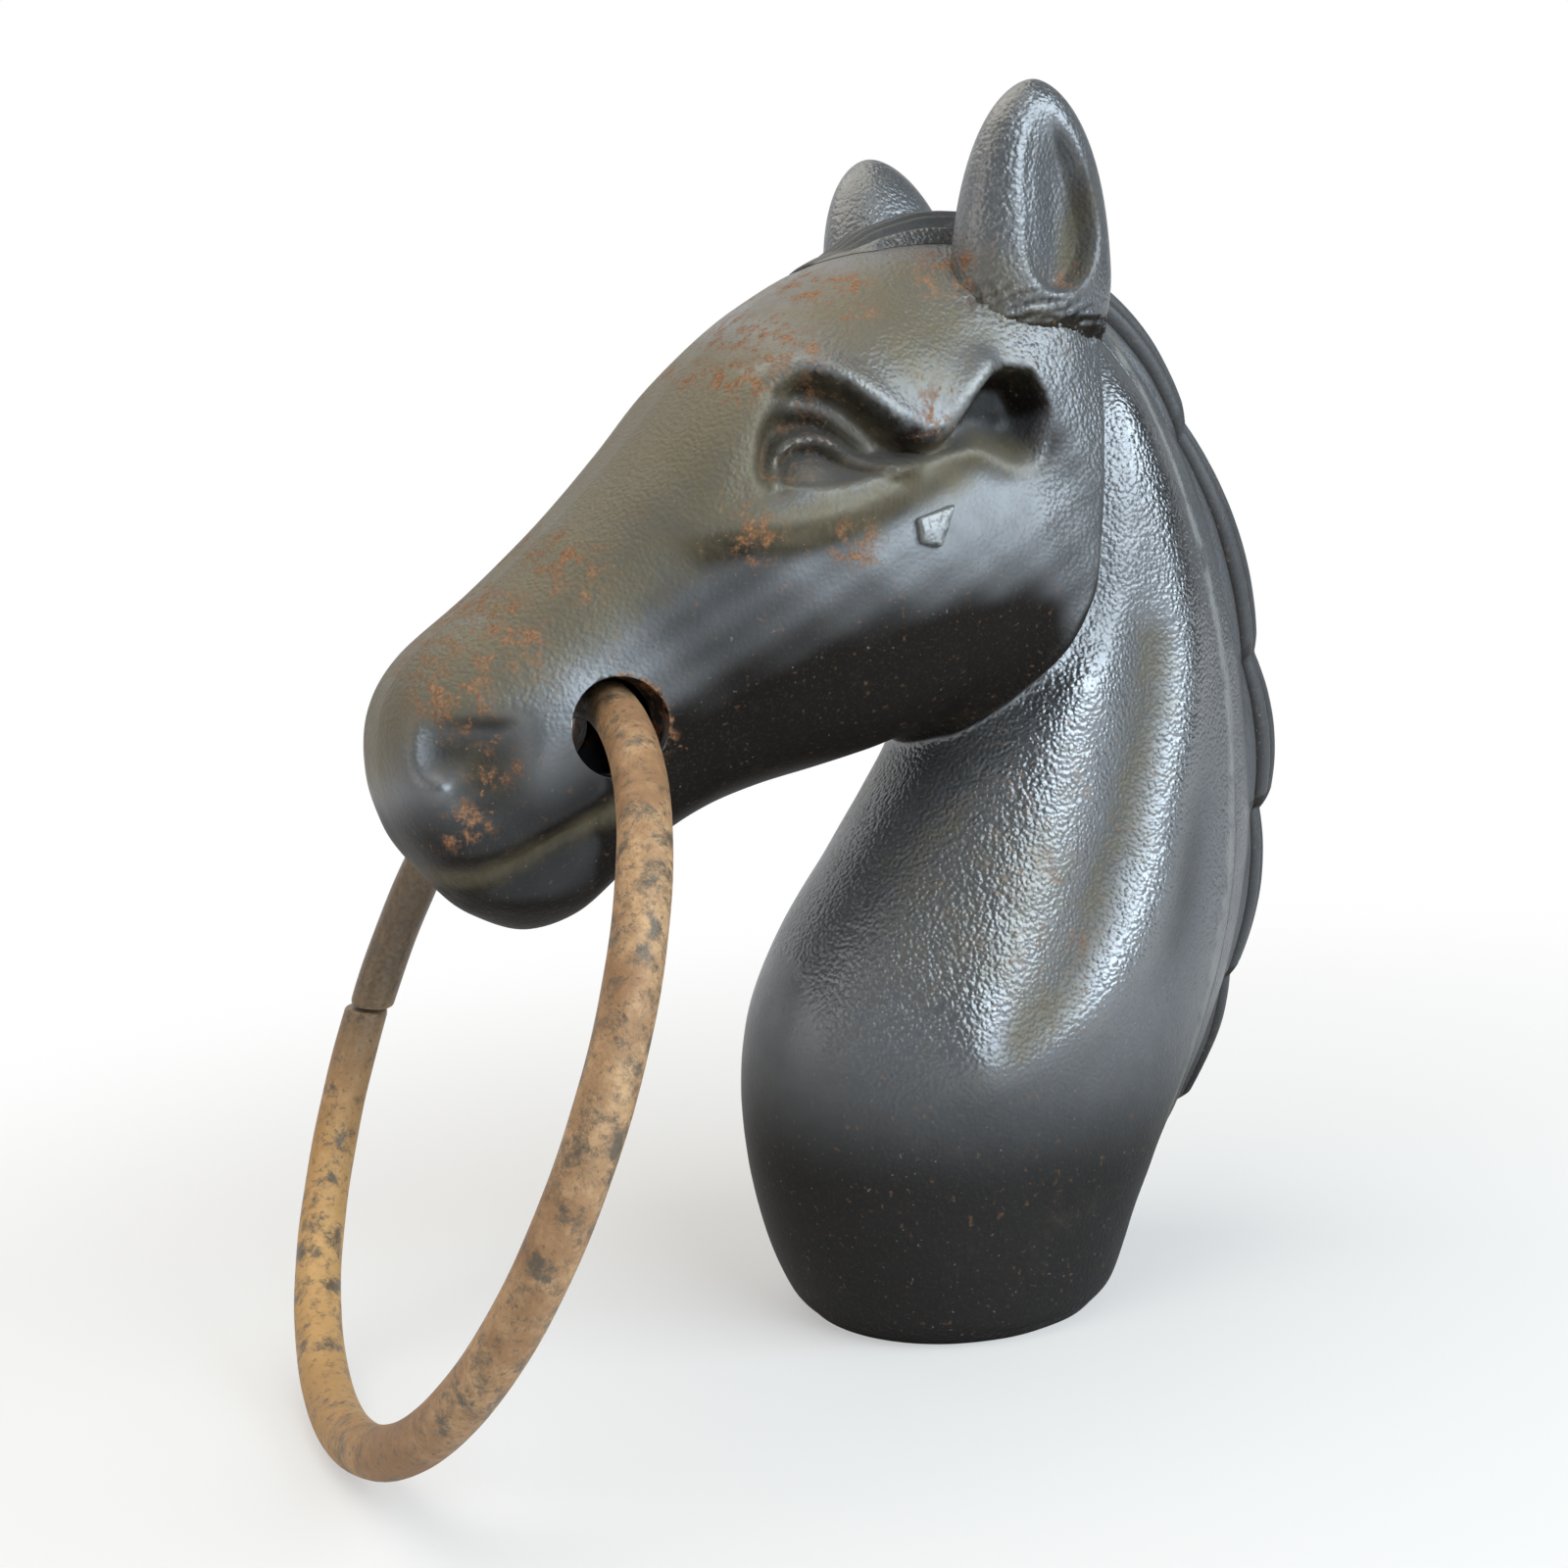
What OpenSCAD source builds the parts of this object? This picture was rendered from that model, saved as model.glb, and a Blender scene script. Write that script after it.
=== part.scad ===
// Cast iron horse head for a hitching post, with a loose bar ring through the muzzle.
// Millimetres. Z up from the foot of the neck, X towards the muzzle, Y to the horse's left.

/* [Ring] */
// Outside diameter of the bent bar ring
ring_od = 152.4; // [148:0.2:156]
// Diameter of the ring's round bar
bar_d = 9.5; // [8:0.5:10.5]
// Open butt gap between the two bar ends
ring_gap = 1; // [0.6:0.1:3]

/* [Muzzle hole] */
// Diameter of the cross hole through both sides of the muzzle
hole_d = 18; // [17:0.5:20]

/* [Post socket] */
// Outside diameter of the round post that the head drops onto
post_d = 48.3; // [42.4:0.1:48.6]
// Radial clearance between the post and the socket wall
socket_fit = 0.5; // [0.3:0.05:0.7]
// Depth of the socket above the foot of the neck
socket_depth = 55; // [45:1:60]

/* [Casting] */
// Wall left around the core at the front and back of the neck and head
wall = 7; // [6:0.5:8]
// Depth of the flat along the crest that carries the mane
mane_depth = 12; // [10:0.5:13]
// Height of the mane's lock tips above the crest
lock_rise = 12.5; // [11:0.5:14]
// Gap in the joint between the mane and the neck
mane_fit = 0.3; // [0.2:0.05:0.4]
// Length of an ear along its axis, with the root inside the head
ear_len = 60; // [57:0.5:63]

/* [Cheek chaplets] */
// Length of a chaplet plate along its longer diagonal
chaplet_len = 10.5; // [9.5:0.5:12]
// Width of a chaplet plate across its shorter diagonal
chaplet_w = 6.8; // [6.4:0.2:8]
// Diameter of a chaplet stem
stem_d = 4; // [3:0.2:4.4]
// Gap around a chaplet in its pocket
chaplet_fit = 0.05; // [0.03:0.01:0.1]

/* [Hidden] */
$fn = 96;
e = 0.01;

// Rings along the neck and head: front x z, back x z, half width, back and front fullness
profile = [
  [31, 0, -31, 0, 31, 2, 2],
  [35, 5, -35.2, 4.5, 34.4, 2, 2],
  [39.5, 17, -41, 15, 35.5, 2, 2],
  [42.5, 33, -50.5, 30, 36, 2, 2.05],
  [43, 50, -63, 50, 36, 2, 2.1],
  [40, 66, -73.5, 72, 34, 2, 2.1],
  [32, 81, -79, 96, 31, 2, 2.1],
  [21, 94, -78.5, 122, 29, 2, 2.1],
  [11, 105, -73.5, 150, 28, 2, 2.1],
  [4, 113, -62, 180, 28, 2, 2.2],
  [2.5, 117.5, -43, 203.5, 29, 2.2, 2.5],
  [7, 119, -18, 217, 31, 2.6, 3],
  [17, 117, 8, 217, 33, 3, 3.5],
  [29, 115, 30, 207.5, 34.5, 3.2, 3.5],
  [41, 113, 47.5, 194.5, 34, 3.4, 3.2],
  [51.5, 110, 61, 181, 30, 3.6, 3],
  [60.5, 105.5, 75, 168, 26, 3.6, 2.8],
  [69, 99, 90.5, 155.5, 23.5, 3.4, 2.6],
  [78, 93, 105, 145, 22.5, 3, 2.5],
  [88, 91.5, 111.3, 136, 21, 2.8, 2.4],
  [97, 95.5, 112.8, 126, 18, 2.5, 2.3],
  [102, 100, 111.2, 116, 11.5, 2.2, 2.1],
  [106.5, 106, 106.5, 106, 0, 2, 2]
];
last = len(profile) - 1;
muzzle_tip = [profile[last][0], 0, profile[last][1]];

// Depth of the mane flat below the crest, along the rings
flat_depth = [[2.4, 0.5], [3.2, 8], [4.4, 12], [8, 12], [9.2, 6], [10, 2.6], [10.4, 2.4], [12, 2.4], [12.4, 0.5]];
mane_start = 2.4;
mane_end = 12.4;
// Rings where one mane lock ends and the next begins, from the poll down
lock_ends = [10.1, 8.8, 7.1, 5.9, 4.3, 3.1];

// Line the ring swings about, where its bar crosses the middle of the muzzle walls
pivot_x = 72.75;
pivot_z = 131.4;
pivot_y = 22;
ring_r = (ring_od - bar_d) / 2;
ring_arm = sqrt(ring_r * ring_r - pivot_y * pivot_y);
// Lean that lets the ring rest on the plane of the neck's foot; a ring too small to reach it hangs straight
ring_lean = acos(min(1, (pivot_z - bar_d / 2) / (ring_arm + ring_r)));
gap_turn = 360 * ring_gap / (2 * PI * ring_r);
gap_place = -87;
// Room for the bar's slope in the muzzle hole, whose middle lies that much below the bar
bar_room = 1.95;
hole_drop = (hole_d - bar_d) / 2 - bar_room;
hole_x = pivot_x + hole_drop * sin(ring_lean);
hole_z = pivot_z - hole_drop * cos(ring_lean);

// Cheek chaplets
chaplet_x = 13.4;
chaplet_z = 160.6;
chaplet_turn = 142;
plate_in = 35.6;
plate_out = 39;
stem_in = 23;

// Ear axis from the root inside the head to the tip
ear_root = [-22.2, 17, 185];
ear_way = [4.7, 16, 58] / norm([4.7, 16, 58]);

// Smooth curve through the rings at place u
function at(u) = let (i = min(last - 1, max(0, floor(u))), f = u - i, b = profile[i], c = profile[i + 1],
    a = i > 0 ? profile[i - 1] : 2 * b - c, d = i < last - 1 ? profile[i + 2] : 2 * c - b)
  0.5 * (2 * b + (c - a) * f + (2 * a - 5 * b + 4 * c - d) * f * f + (3 * b - a - 3 * c + d) * f * f * f);

// Soft round swelling about a point, with two half widths and a turn
function bump(x, z, cx, cz, rx, rz, turn) =
  exp(-pow(((x - cx) * cos(turn) + (z - cz) * sin(turn)) / rx, 2)
      - pow(((z - cz) * cos(turn) - (x - cx) * sin(turn)) / rz, 2));

// Disc with a soft edge
function disc(x, z, cx, cz, r, k) = 1 / (1 + exp(min(40, k * (norm([x - cx, z - cz]) / r - 1))));

// Squared distance to a segment, and a soft ridge along a run of points
function seg(p, a, b) = let (d = b - a, t = min(1, max(0, (p - a) * d / (d * d))), q = p - a - t * d) q * q;
function ridge(x, z, run, r) = exp(-min([for (i = [0:len(run) - 2]) seg([x, z], run[i], run[i + 1])]) / (r * r));

// S-curve from 0 to 1
function smooth(t) = let (c = min(1, max(0, t))) c * c * (3 - 2 * c);

// Rear edge of the head's side, from the jaw up to the ear: height and x, and height and width of its rounded step
side_edge = [[60, 200], [93, 75], [98, 40], [108.5, 20], [112.7, 9.2], [115.8, 3], [119.9, -3.6], [125.7, -11.2],
  [132, -18.4], [138.3, -23.3], [146, -27.5], [158, -30], [169.3, -31.8], [180.6, -33.6], [188, -34.7],
  [197, -37], [204, -38.7], [214, -40]];
side_step = [[110, 9.5], [120, 8.5], [130, 7], [140, 5.5], [150, 4.8], [160, 4.6]];
// Height of the head's side over the neck, along x
side_rise = [[-30, 7.8], [-8, 6.8], [12, 5.8]];
function side(x, z) = smooth((x - lookup(z, side_edge)) / lookup(z, side_step));
crease = [for (p = side_edge) if (p[0] > 112 && p[0] < 205) [p[1], p[0]]];

brow = [[55, 168], [52.6, 176], [49.5, 184], [43.6, 190], [36, 192.4], [30.4, 190.8], [26, 187.2], [21.8, 183],
  [17.4, 179.8], [12.4, 178], [8.2, 179.8], [4, 184.4]];
channel = [[22, 174], [10, 177], [0, 180]];
cheekbone = [[57, 162.5], [50.3, 163.2], [42.6, 163], [31.1, 164.6], [23, 167.2], [14.2, 169.6], [7.5, 171.2],
  [-0.1, 173.6], [-8, 173]];
front_muscle = [[-12, 118], [-5, 101], [1, 82], [3, 66], [3, 56]];
rear_muscle = [[-44, 180], [-50, 153], [-51, 129], [-46, 105], [-36, 81], [-22, 66], [-6, 56]];
neck_groove = [[-34, 145], [-30, 119], [-21, 96], [-10, 76], [-4, 62]];
mouth = [[111, 107], [105.7, 104.6], [97.5, 105.4], [86, 109.7], [78.2, 112.8], [70.3, 116]];
// Mouth line from its corner to the front: x and height
mouth_line = [[70.3, 116], [78.2, 112.8], [86, 109.7], [97.5, 105.4], [105.7, 104.6], [111, 107]];

// Cheek, temple and ear root, which stand over the neck
function cheek(x, z) = let (s = side(x, z))
  lookup(x, side_rise) * s / (1 + exp((x - 30) / 9)) * (1 - 0.55 * smooth((z - 186) / 20) * smooth((x + 6) / 16))
  + 4.6 * bump(x, z, -21, 199, 16, 10, 0) * s
  - 2.4 * ridge(x, z, crease, 6) * (1 - s);

// Side relief: cheek, eye socket, brow, temple pit, nostril, mouth and neck muscles
function relief(x, z) =
  cheek(x, z)
  - 6.5 * bump(x, z, 36, 177, 12.5, 8.5, -14)
  + 3.2 * bump(x, z, 35, 172.8, 6, 4.4, -8)
  + 1.6 * ridge(x, z, brow, 4)
  - 3.4 * ridge(x, z, channel, 4.2)
  - 8.5 * disc(x, z, -5, 182, 8.8, 7)
  + 1.6 * ridge(x, z, cheekbone, 4.5)
  - 3.8 * bump(x, z, 99.5, 126.5, 8, 5.5, 10)
  + 2 * bump(x, z, 106, 121.2, 3.6, 3.4, 0)
  - 2.6 * ridge(x, z, mouth, 3.2)
  - 1.4 * smooth((lookup(x, mouth_line) - z) / 3.5) * smooth((x - 68) / 12)
  + 3.2 * ridge(x, z, front_muscle, 8)
  + 3.6 * ridge(x, z, rear_muscle, 7.5)
  - 3.2 * ridge(x, z, neck_groove, 5.5);

// Depth of the mane flat, and the angle round a ring where the flat starts
function cut(u) = lookup(u, flat_depth) * mane_depth / 12;
function half_depth(s) = norm([s[2] - s[0], s[3] - s[1]]) / 2;
function split(u) = acos(1 - cut(u) / half_depth(at(u)));

// Share of the half width at angle v round a ring
function fullness(s, v) = sqrt(max(0, 1 - pow(abs(cos(v)), cos(v) > 0 ? s[5] : s[6])));
// Point of the side plane at share t between the front and the back of a ring
function mid(s, t) = [(s[0] + s[2]) / 2 + t * (s[2] - s[0]) / 2, (s[1] + s[3]) / 2 + t * (s[3] - s[1]) / 2];
// Half width of the outer skin, relief included
function side_y(s, v) = let (f = fullness(s, v), p = mid(s, cos(v)))
  max(0, s[4] * f + relief(p[0], p[1]) * pow(min(1, 1.6 * f), 1.5) * min(1, max(0, s[4] / 14)));

// Points of one skin ring: the mane flat first, then round the front and back again
flat_steps = 4;
side_steps = 24;
function half_ring(u) = let (s = at(u), v0 = split(u), y0 = side_y(s, v0), p0 = mid(s, cos(v0))) concat(
  [for (j = [0:flat_steps - 1]) [p0[0], y0 * j / flat_steps, p0[1]]],
  [for (j = [0:side_steps]) let (v = v0 + (180 - v0) * j / side_steps, p = mid(s, cos(v)))
    [p[0], j == side_steps ? 0 : side_y(s, v), p[1]]]);
function full_ring(half) = concat(half, [for (j = [len(half) - 2:-1:1]) [half[j][0], -half[j][1], half[j][2]]]);

// Closed form through a list of equal rings, each end drawn to a middle point or to a given tip
function mean(loop) = [for (c = [0:2]) [for (p = loop) p[c]] * [for (p = loop) 1] / len(loop)];
module rings(loops, tip) {
  n = len(loops[0]);
  m = len(loops);
  points = concat([for (l = loops, p = l) p], [mean(loops[0]), tip == undef ? mean(loops[m - 1]) : tip]);
  walls = [for (i = [0:m - 2], j = [0:n - 1]) let (k = (j + 1) % n)
    each [[i * n + j, i * n + k, (i + 1) * n + k], [i * n + j, (i + 1) * n + k, (i + 1) * n + j]]];
  foot = [for (j = [0:n - 1]) [(j + 1) % n, j, m * n]];
  top = [for (j = [0:n - 1]) [(m - 1) * n + j, (m - 1) * n + (j + 1) % n, m * n + 1]];
  polyhedron(points, concat(foot, walls, top), convexity = 10);
}

// Outer form of the neck and head, without its hollow
module head_form() {
  places = concat([for (i = [0:24]) 0.4 * i], [for (i = [49:78]) 0.2 * i], [for (i = [40:54]) 0.4 * i]);
  rings([for (u = places) full_ring(half_ring(u))], muzzle_tip);
}

// Hollow left by the core, from the socket to the muzzle
core_to = 19.4;
// Ring where the hollow starts, just above the socket's end, with the rings 16 mm apart there
core_from = 3.9 + (socket_depth - 55) / 16;
function front_wall(u) = wall + 8 * exp(-pow((u - 9.2) / 1.7, 2));
function side_wall(u) = wall + 5 * exp(-pow((u - 11.5) / 2.6, 2)) + 2 * exp(-pow((u - 7) / 2.5, 2));
function core_ring(u, k) = let (s = at(u), a = [s[0], s[1]], b = [s[2], s[3]], d = (b - a) / norm(b - a),
    p = a + d * front_wall(u), q = b - d * (wall + cut(u)), m = (p + q) / 2, h = (q - p) / 2 * k, w = (s[4] - side_wall(u)) * k)
  [for (j = [0:19]) [m[0] + h[0] * cos(18 * j), w * sin(18 * j), m[1] + h[1] * cos(18 * j)]];
module core() {
  n = 22;
  half = (core_to - core_from) / 2;
  rings([for (i = [0:n]) let (g = -0.985 + 1.97 * i / n)
    core_ring(core_from + half * (1 + g), sqrt(1 - pow(abs(g), 6)))]);
}

// Share of the locks' rise over the poll to the forelock, and below the lowest lock
forelock_rise = [[10.1, 0.5], [11, 0.64], [11.5, 0.48], [12, 0.22], [12.4, 0.08]];
hem_rise = [[2.4, 0.05], [3.1, 0.4]];
// Share of a lock's rise at place u: low at its root, full near its tip
function lock_share(u) = u > lock_ends[0] ? lookup(u, forelock_rise) : u < lock_ends[5] ? lookup(u, hem_rise)
  : let (i = [for (j = [0:4]) if (u <= lock_ends[j] && u >= lock_ends[j + 1]) j][0],
      f = (lock_ends[i] - u) / (lock_ends[i] - lock_ends[i + 1]))
    0.5 + (i < 3 ? 0.5 : 0.3) * pow(f, 0.8) * min(1, (1.04 - f) * 7);
function mane_ring(u) = let (s = at(u), v0 = split(u), y0 = side_y(s, v0), h = half_depth(s),
    t0 = cos(v0) + mane_fit / h, p0 = mid(s, t0), rise = lock_rise * lock_share(u) / h) concat(
  [for (j = [-5:5]) let (v = v0 * abs(j) / 5, r = rise * pow(cos(90 * j / 5), 0.6),
      p = mid(s, max(t0 + 0.1 / h, cos(v) + r)), y = y0 * pow(abs(j) / 5, 0.9)) [p[0], j < 0 ? -y : y, p[1]]],
  [[p0[0], y0, p0[1]], [p0[0], -y0, p0[1]]]);

// Ear form round its axis, with the hollow of the shell facing out and back
function ear_ring(k) = let (c = ear_root + ear_way * (ear_len * k),
    g = pow(1 - pow(k, 2.8), 0.62) * (0.6 + 0.4 * sin(90 * min(1, k / 0.35))))
  [for (j = [0:17]) let (a = 360 - 20 * j, way = (a - 105) / 36,
      dent = 1 - 0.5 * exp(-way * way) * exp(-pow((k - 0.62) / 0.22, 2)))
    c + g * dent * (17.7 * cos(a) * [1, 0, 0] + 12.5 * sin(a) * [0, 1, -0.2])];
module ear_form() {
  n = 12;
  rings([for (i = [0:n]) ear_ring(0.98 * i / n)], ear_root + ear_way * ear_len);
}

module kite(grow) {
  a = chaplet_len / 2 + grow;
  b = chaplet_w / 2 + grow;
  rotate(chaplet_turn) polygon([[a * 1.15, 0], [-a * 0.35, b], [-a * 0.85, 0], [-a * 0.35, -b]]);
}

// Chaplet on the left cheek: a plate on the skin and a stem through the wall
module chaplet(grow, reach) {
  translate([chaplet_x, 0, chaplet_z]) rotate([90, 0, 0]) mirror([0, 0, 1]) {
    translate([0, 0, plate_in - grow]) linear_extrude(height = plate_out + reach - plate_in + grow) kite(grow);
    translate([0, 0, stem_in - grow]) cylinder(d = stem_d + 2 * grow, h = plate_in - stem_in + e);
  }
}

// Hollow neck and head, with the socket, the muzzle hole and the chaplet pockets
module head_casting() {
  color([0.1, 0.1, 0.1]) difference() {
    head_form();
    core();
    translate([0, 0, -1]) cylinder(d = post_d + 2 * socket_fit, h = socket_depth + 1);
    translate([hole_x, 0, hole_z]) rotate([90, 0, 0]) cylinder(d = hole_d, h = 80, center = true);
    chaplet(chaplet_fit, 5);
    mirror([0, 1, 0]) chaplet(chaplet_fit, 5);
  }
}

// Mane strip along the crest, from the lowest lock over the poll to the forelock
module mane() {
  n = 100;
  color([0.12, 0.12, 0.12])
    rings([for (i = [0:n]) mane_ring(mane_start + (mane_end - mane_start) * i / n)]);
}

// Left ear, seated on the head
module ear_left() {
  color([0.13, 0.13, 0.12]) difference() {
    ear_form();
    head_form();
  }
}

// Right ear, the mirror of the left one
module ear_right() {
  color([0.13, 0.13, 0.12]) difference() {
    mirror([0, 1, 0]) ear_form();
    head_form();
  }
}

// Ring bent from round bar, open at a butt gap on the horse's right
module ring() {
  color([0.45, 0.33, 0.2])
    translate([pivot_x + ring_arm * sin(ring_lean), 0, pivot_z - ring_arm * cos(ring_lean)])
    rotate([0, 90 - ring_lean, 0]) rotate([0, 0, gap_place + gap_turn / 2])
    rotate_extrude(angle = 360 - gap_turn) translate([ring_r, 0]) circle(d = bar_d);
}

module chaplet_left() {
  color([0.35, 0.35, 0.34]) chaplet(0, 0);
}

module chaplet_right() {
  color([0.35, 0.35, 0.34]) mirror([0, 1, 0]) chaplet(0, 0);
}

head_casting();
mane();
ear_left();
ear_right();
ring();
chaplet_left();
chaplet_right();
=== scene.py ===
"""Looks of a cast iron horse head for a hitching post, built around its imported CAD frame.

Lengths inside this file are millimetres in the frame of the CAD: Z up from the foot of the neck,
X towards the muzzle and Y to the horse's left. Meshes are written in metres.
"""

import math

import bpy
import numpy as np
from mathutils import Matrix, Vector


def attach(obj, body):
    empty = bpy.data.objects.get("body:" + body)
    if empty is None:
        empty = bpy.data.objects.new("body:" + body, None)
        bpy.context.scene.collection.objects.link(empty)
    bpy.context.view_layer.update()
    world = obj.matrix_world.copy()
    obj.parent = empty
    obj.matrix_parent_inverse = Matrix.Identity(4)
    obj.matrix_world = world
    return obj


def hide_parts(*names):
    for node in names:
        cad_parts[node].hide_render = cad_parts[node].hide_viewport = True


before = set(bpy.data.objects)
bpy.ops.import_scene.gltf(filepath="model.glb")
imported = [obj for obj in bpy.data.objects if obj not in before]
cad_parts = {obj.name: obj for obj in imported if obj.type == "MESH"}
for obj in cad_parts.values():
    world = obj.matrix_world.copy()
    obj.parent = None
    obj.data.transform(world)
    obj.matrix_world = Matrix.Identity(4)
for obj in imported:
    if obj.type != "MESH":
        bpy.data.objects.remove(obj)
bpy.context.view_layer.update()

bl_info = {
    "name": "Hitching post head",
    "version": (1, 0, 0),
    "blender": (4, 5, 0),
    "location": "View3D > Sidebar > Hitching post",
    "description": "Builds a cast iron horse head with its tether ring, and a plain studio stage",
    "category": "Add Mesh",
}

MM = 0.001
HEAD_BODY = "head"
RING_BODY = "ring"

# Rings along the neck and head: front x z, back x z, half width, back and front fullness
PROFILE = np.array([
    [31, 0, -31, 0, 31, 2, 2],
    [35, 5, -35.2, 4.5, 34.4, 2, 2],
    [39.5, 17, -41, 15, 35.5, 2, 2],
    [42.5, 33, -50.5, 30, 36, 2, 2.05],
    [43, 50, -63, 50, 36, 2, 2.1],
    [40, 66, -73.5, 72, 34, 2, 2.1],
    [32, 81, -79, 96, 31, 2, 2.1],
    [21, 94, -78.5, 122, 29, 2, 2.1],
    [11, 105, -73.5, 150, 28, 2, 2.1],
    [4, 113, -62, 180, 28, 2, 2.2],
    [2.5, 117.5, -43, 203.5, 29, 2.2, 2.5],
    [7, 119, -18, 217, 31, 2.6, 3],
    [17, 117, 8, 217, 33, 3, 3.5],
    [29, 115, 30, 207.5, 34.5, 3.2, 3.5],
    [41, 113, 47.5, 194.5, 34, 3.4, 3.2],
    [51.5, 110, 61, 181, 30, 3.6, 3],
    [60.5, 105.5, 75, 168, 26, 3.6, 2.8],
    [69, 99, 90.5, 155.5, 23.5, 3.4, 2.6],
    [78, 93, 105, 145, 22.5, 3, 2.5],
    [88, 91.5, 111.3, 136, 21, 2.8, 2.4],
    [97, 95.5, 112.8, 126, 18, 2.5, 2.3],
    [102, 100, 111.2, 116, 11.5, 2.2, 2.1],
    [106.5, 106, 106.5, 106, 0, 2, 2],
], float)
MUZZLE_TIP = (106.5, 0, 106)
SIDES = {"left": 1, "right": -1}
MIRROR = np.array([1, -1, 1])

# Pivot of the ring, and how far its two holes stand to the side
PIVOT_X, PIVOT_Z, PIVOT_Y = 72.75, 131.4, 22
# Gap between the bar and the upper edge of its hole
BAR_CLEARANCE = 1.95
# Turn of the ring's butt gap from the ring's lowest point
RING_GAP_TURN = math.radians(-87)
# Middle of the muzzle hole and of a chaplet's plate
HOLE_X, HOLE_Z = 73.7, 129.3
CHAPLET_X, CHAPLET_Z = 13.4, 160.6

# Depth of the mane's flat below the crest, along the rings
FLAT_AT = (2.4, 3.2, 4.4, 8, 9.2, 10, 10.4, 12, 12.4)
FLAT_DEPTH = (0.5, 8, 12, 12, 6, 2.6, 2.4, 2.4, 0.5)
MANE_START, MANE_END = 2.4, 12.4
MANE_GAP = 0.02
# Height of the mane's strip under its locks, along the rings
STRIP_AT = (2.4, 3.1, 4, 9, 10.1, 11, 11.5, 12, 12.4)
STRIP_HEIGHT = (0.4, 2.2, 3, 3, 3.6, 4.4, 3.2, 1.2, 0.2)
# Rings between which the locks lie, how full each one is, and the hair waves across one
LOCK_ENDS = (10.1, 8.8, 7.1, 5.9, 4.3, 3.1)
LOCK_BELLY = (1.0, 1.0, 1.0, 0.8, 0.8)
LOCK_RISE = 12.5
HAIR_WAVES = 9
HAIR_DEPTH = 1.5

# Runs of points on the side of the head and neck, x and z
HEAD_SIDE = [(-40, 214), (-38.7, 204), (-37, 197), (-34.7, 188), (-33.6, 180.6), (-31.8, 169.3),
             (-30, 158), (-27.5, 146), (-23.3, 138.3), (-18.4, 132), (-11.2, 125.7), (-3.6, 119.9),
             (3, 115.8), (9.2, 112.7), (20, 108.5), (40, 98), (75, 93), (80, 160), (60, 230), (-10, 236)]
CREASE = HEAD_SIDE[1:14]
BROW = [(55, 168), (52.6, 176), (49.5, 184), (43.6, 190), (36, 192.4), (30.4, 190.8), (26, 187.2),
        (21.8, 183), (17.4, 179.8), (12.4, 178), (8.2, 179.8), (4, 184.4), (-1, 189.6)]
UPPER_RIM = [(54, 165.5), (50.6, 174), (47.6, 182), (42, 188.2), (34.4, 190.2), (29.3, 188.4),
             (25.3, 185.2), (21.3, 181.2), (17.2, 177.8), (12.3, 175.9), (8.8, 177.6), (4.5, 182.6),
             (-0.5, 187.5), (-5.3, 189.4), (-11, 188.3), (-14, 182.4), (-14.2, 176), (-12.6, 170.6)]
LOWER_RIM = [(-12.6, 170.6), (-7, 169.8), (-1, 172.2), (3.5, 173.6), (9.8, 172.9), (18.9, 170.8),
             (30.1, 167.5), (36.5, 166.6), (44.4, 166.2), (54, 165.5)]
LID_FOLD = [(46.8, 170.5), (45.2, 177.7), (42.7, 182.3), (37.8, 184.7), (32.5, 184.5), (28.4, 182.3),
            (25.4, 179.3), (21.9, 175.3), (17.5, 172.2)]
UPPER_LID = [(41.8, 171.2), (40.3, 174.4), (39, 176.3), (35.7, 177.9), (31.4, 178), (28.3, 176.4),
             (25.8, 174.3), (21.6, 172.2)]
LOWER_LID = [(43.2, 170.1), (39.6, 169), (35.4, 168.5), (30, 169), (24.4, 170.4), (18.9, 171.2)]
CHEEKBONE = [(57, 162.5), (50.3, 163.2), (42.6, 163), (31.1, 164.6), (23, 167.2), (14.2, 169.6),
             (7.5, 171.2), (-0.1, 173.6), (-8, 173)]
MOUTH = [(111, 107), (105.7, 104.6), (97.5, 105.4), (86, 109.7), (78.2, 112.8), (70.3, 116)]
LOWER_LIP = [(110, 104), (105, 101.8), (97, 102.4), (86, 106.8), (78, 110)]
UPPER_LIP = [(111, 111.5), (104, 109.8), (96, 111), (87, 114.6), (79, 117.6)]
FRONT_MUSCLE = [(-21.9, 124.3), (-13.3, 103.2), (-7.1, 90.9), (-1.2, 80.1), (4.8, 69.6), (7.9, 60)]
REAR_MUSCLE = [(-45, 180), (-51, 150), (-49.3, 121.5), (-41.2, 99.7), (-36.3, 86.9), (-28.4, 76.2),
               (-17.4, 66.2), (-3.8, 60.1), (8, 56.5)]
NECK_GROOVE = [(-42.6, 133), (-39.8, 122.4), (-30.9, 100.7), (-23.9, 88.2), (-17.3, 77.3), (-8.2, 67),
               (2.1, 61.2)]
MUSCLE_FOOT = [(-54, 98), (-46, 80), (-36, 67), (-22, 56), (-6, 49.5), (10, 46.5)]
ROOT_LINE = [(-49, 198), (-57, 171), (-64, 143), (-66.8, 116), (-63, 87), (-56, 68), (-47.5, 48),
             (-40.6, 34.8)]
EAR_SEAM = [(-2.6, 203.1), (-11.2, 202.1), (-18.8, 200.2), (-26.6, 198.3), (-31, 196.3)]
# Outline of the hollow of the ear's shell, x and z
SHELL = [(-12.6, 235), (-10.4, 229), (-9.4, 222), (-9.6, 215.1), (-10.6, 207.6), (-14.4, 203.2),
         (-19.6, 202), (-25, 204.4), (-28, 209.5), (-28.9, 214.1), (-27.3, 220.4), (-24.7, 228.1),
         (-21.7, 233.9), (-17.6, 239)]

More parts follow.
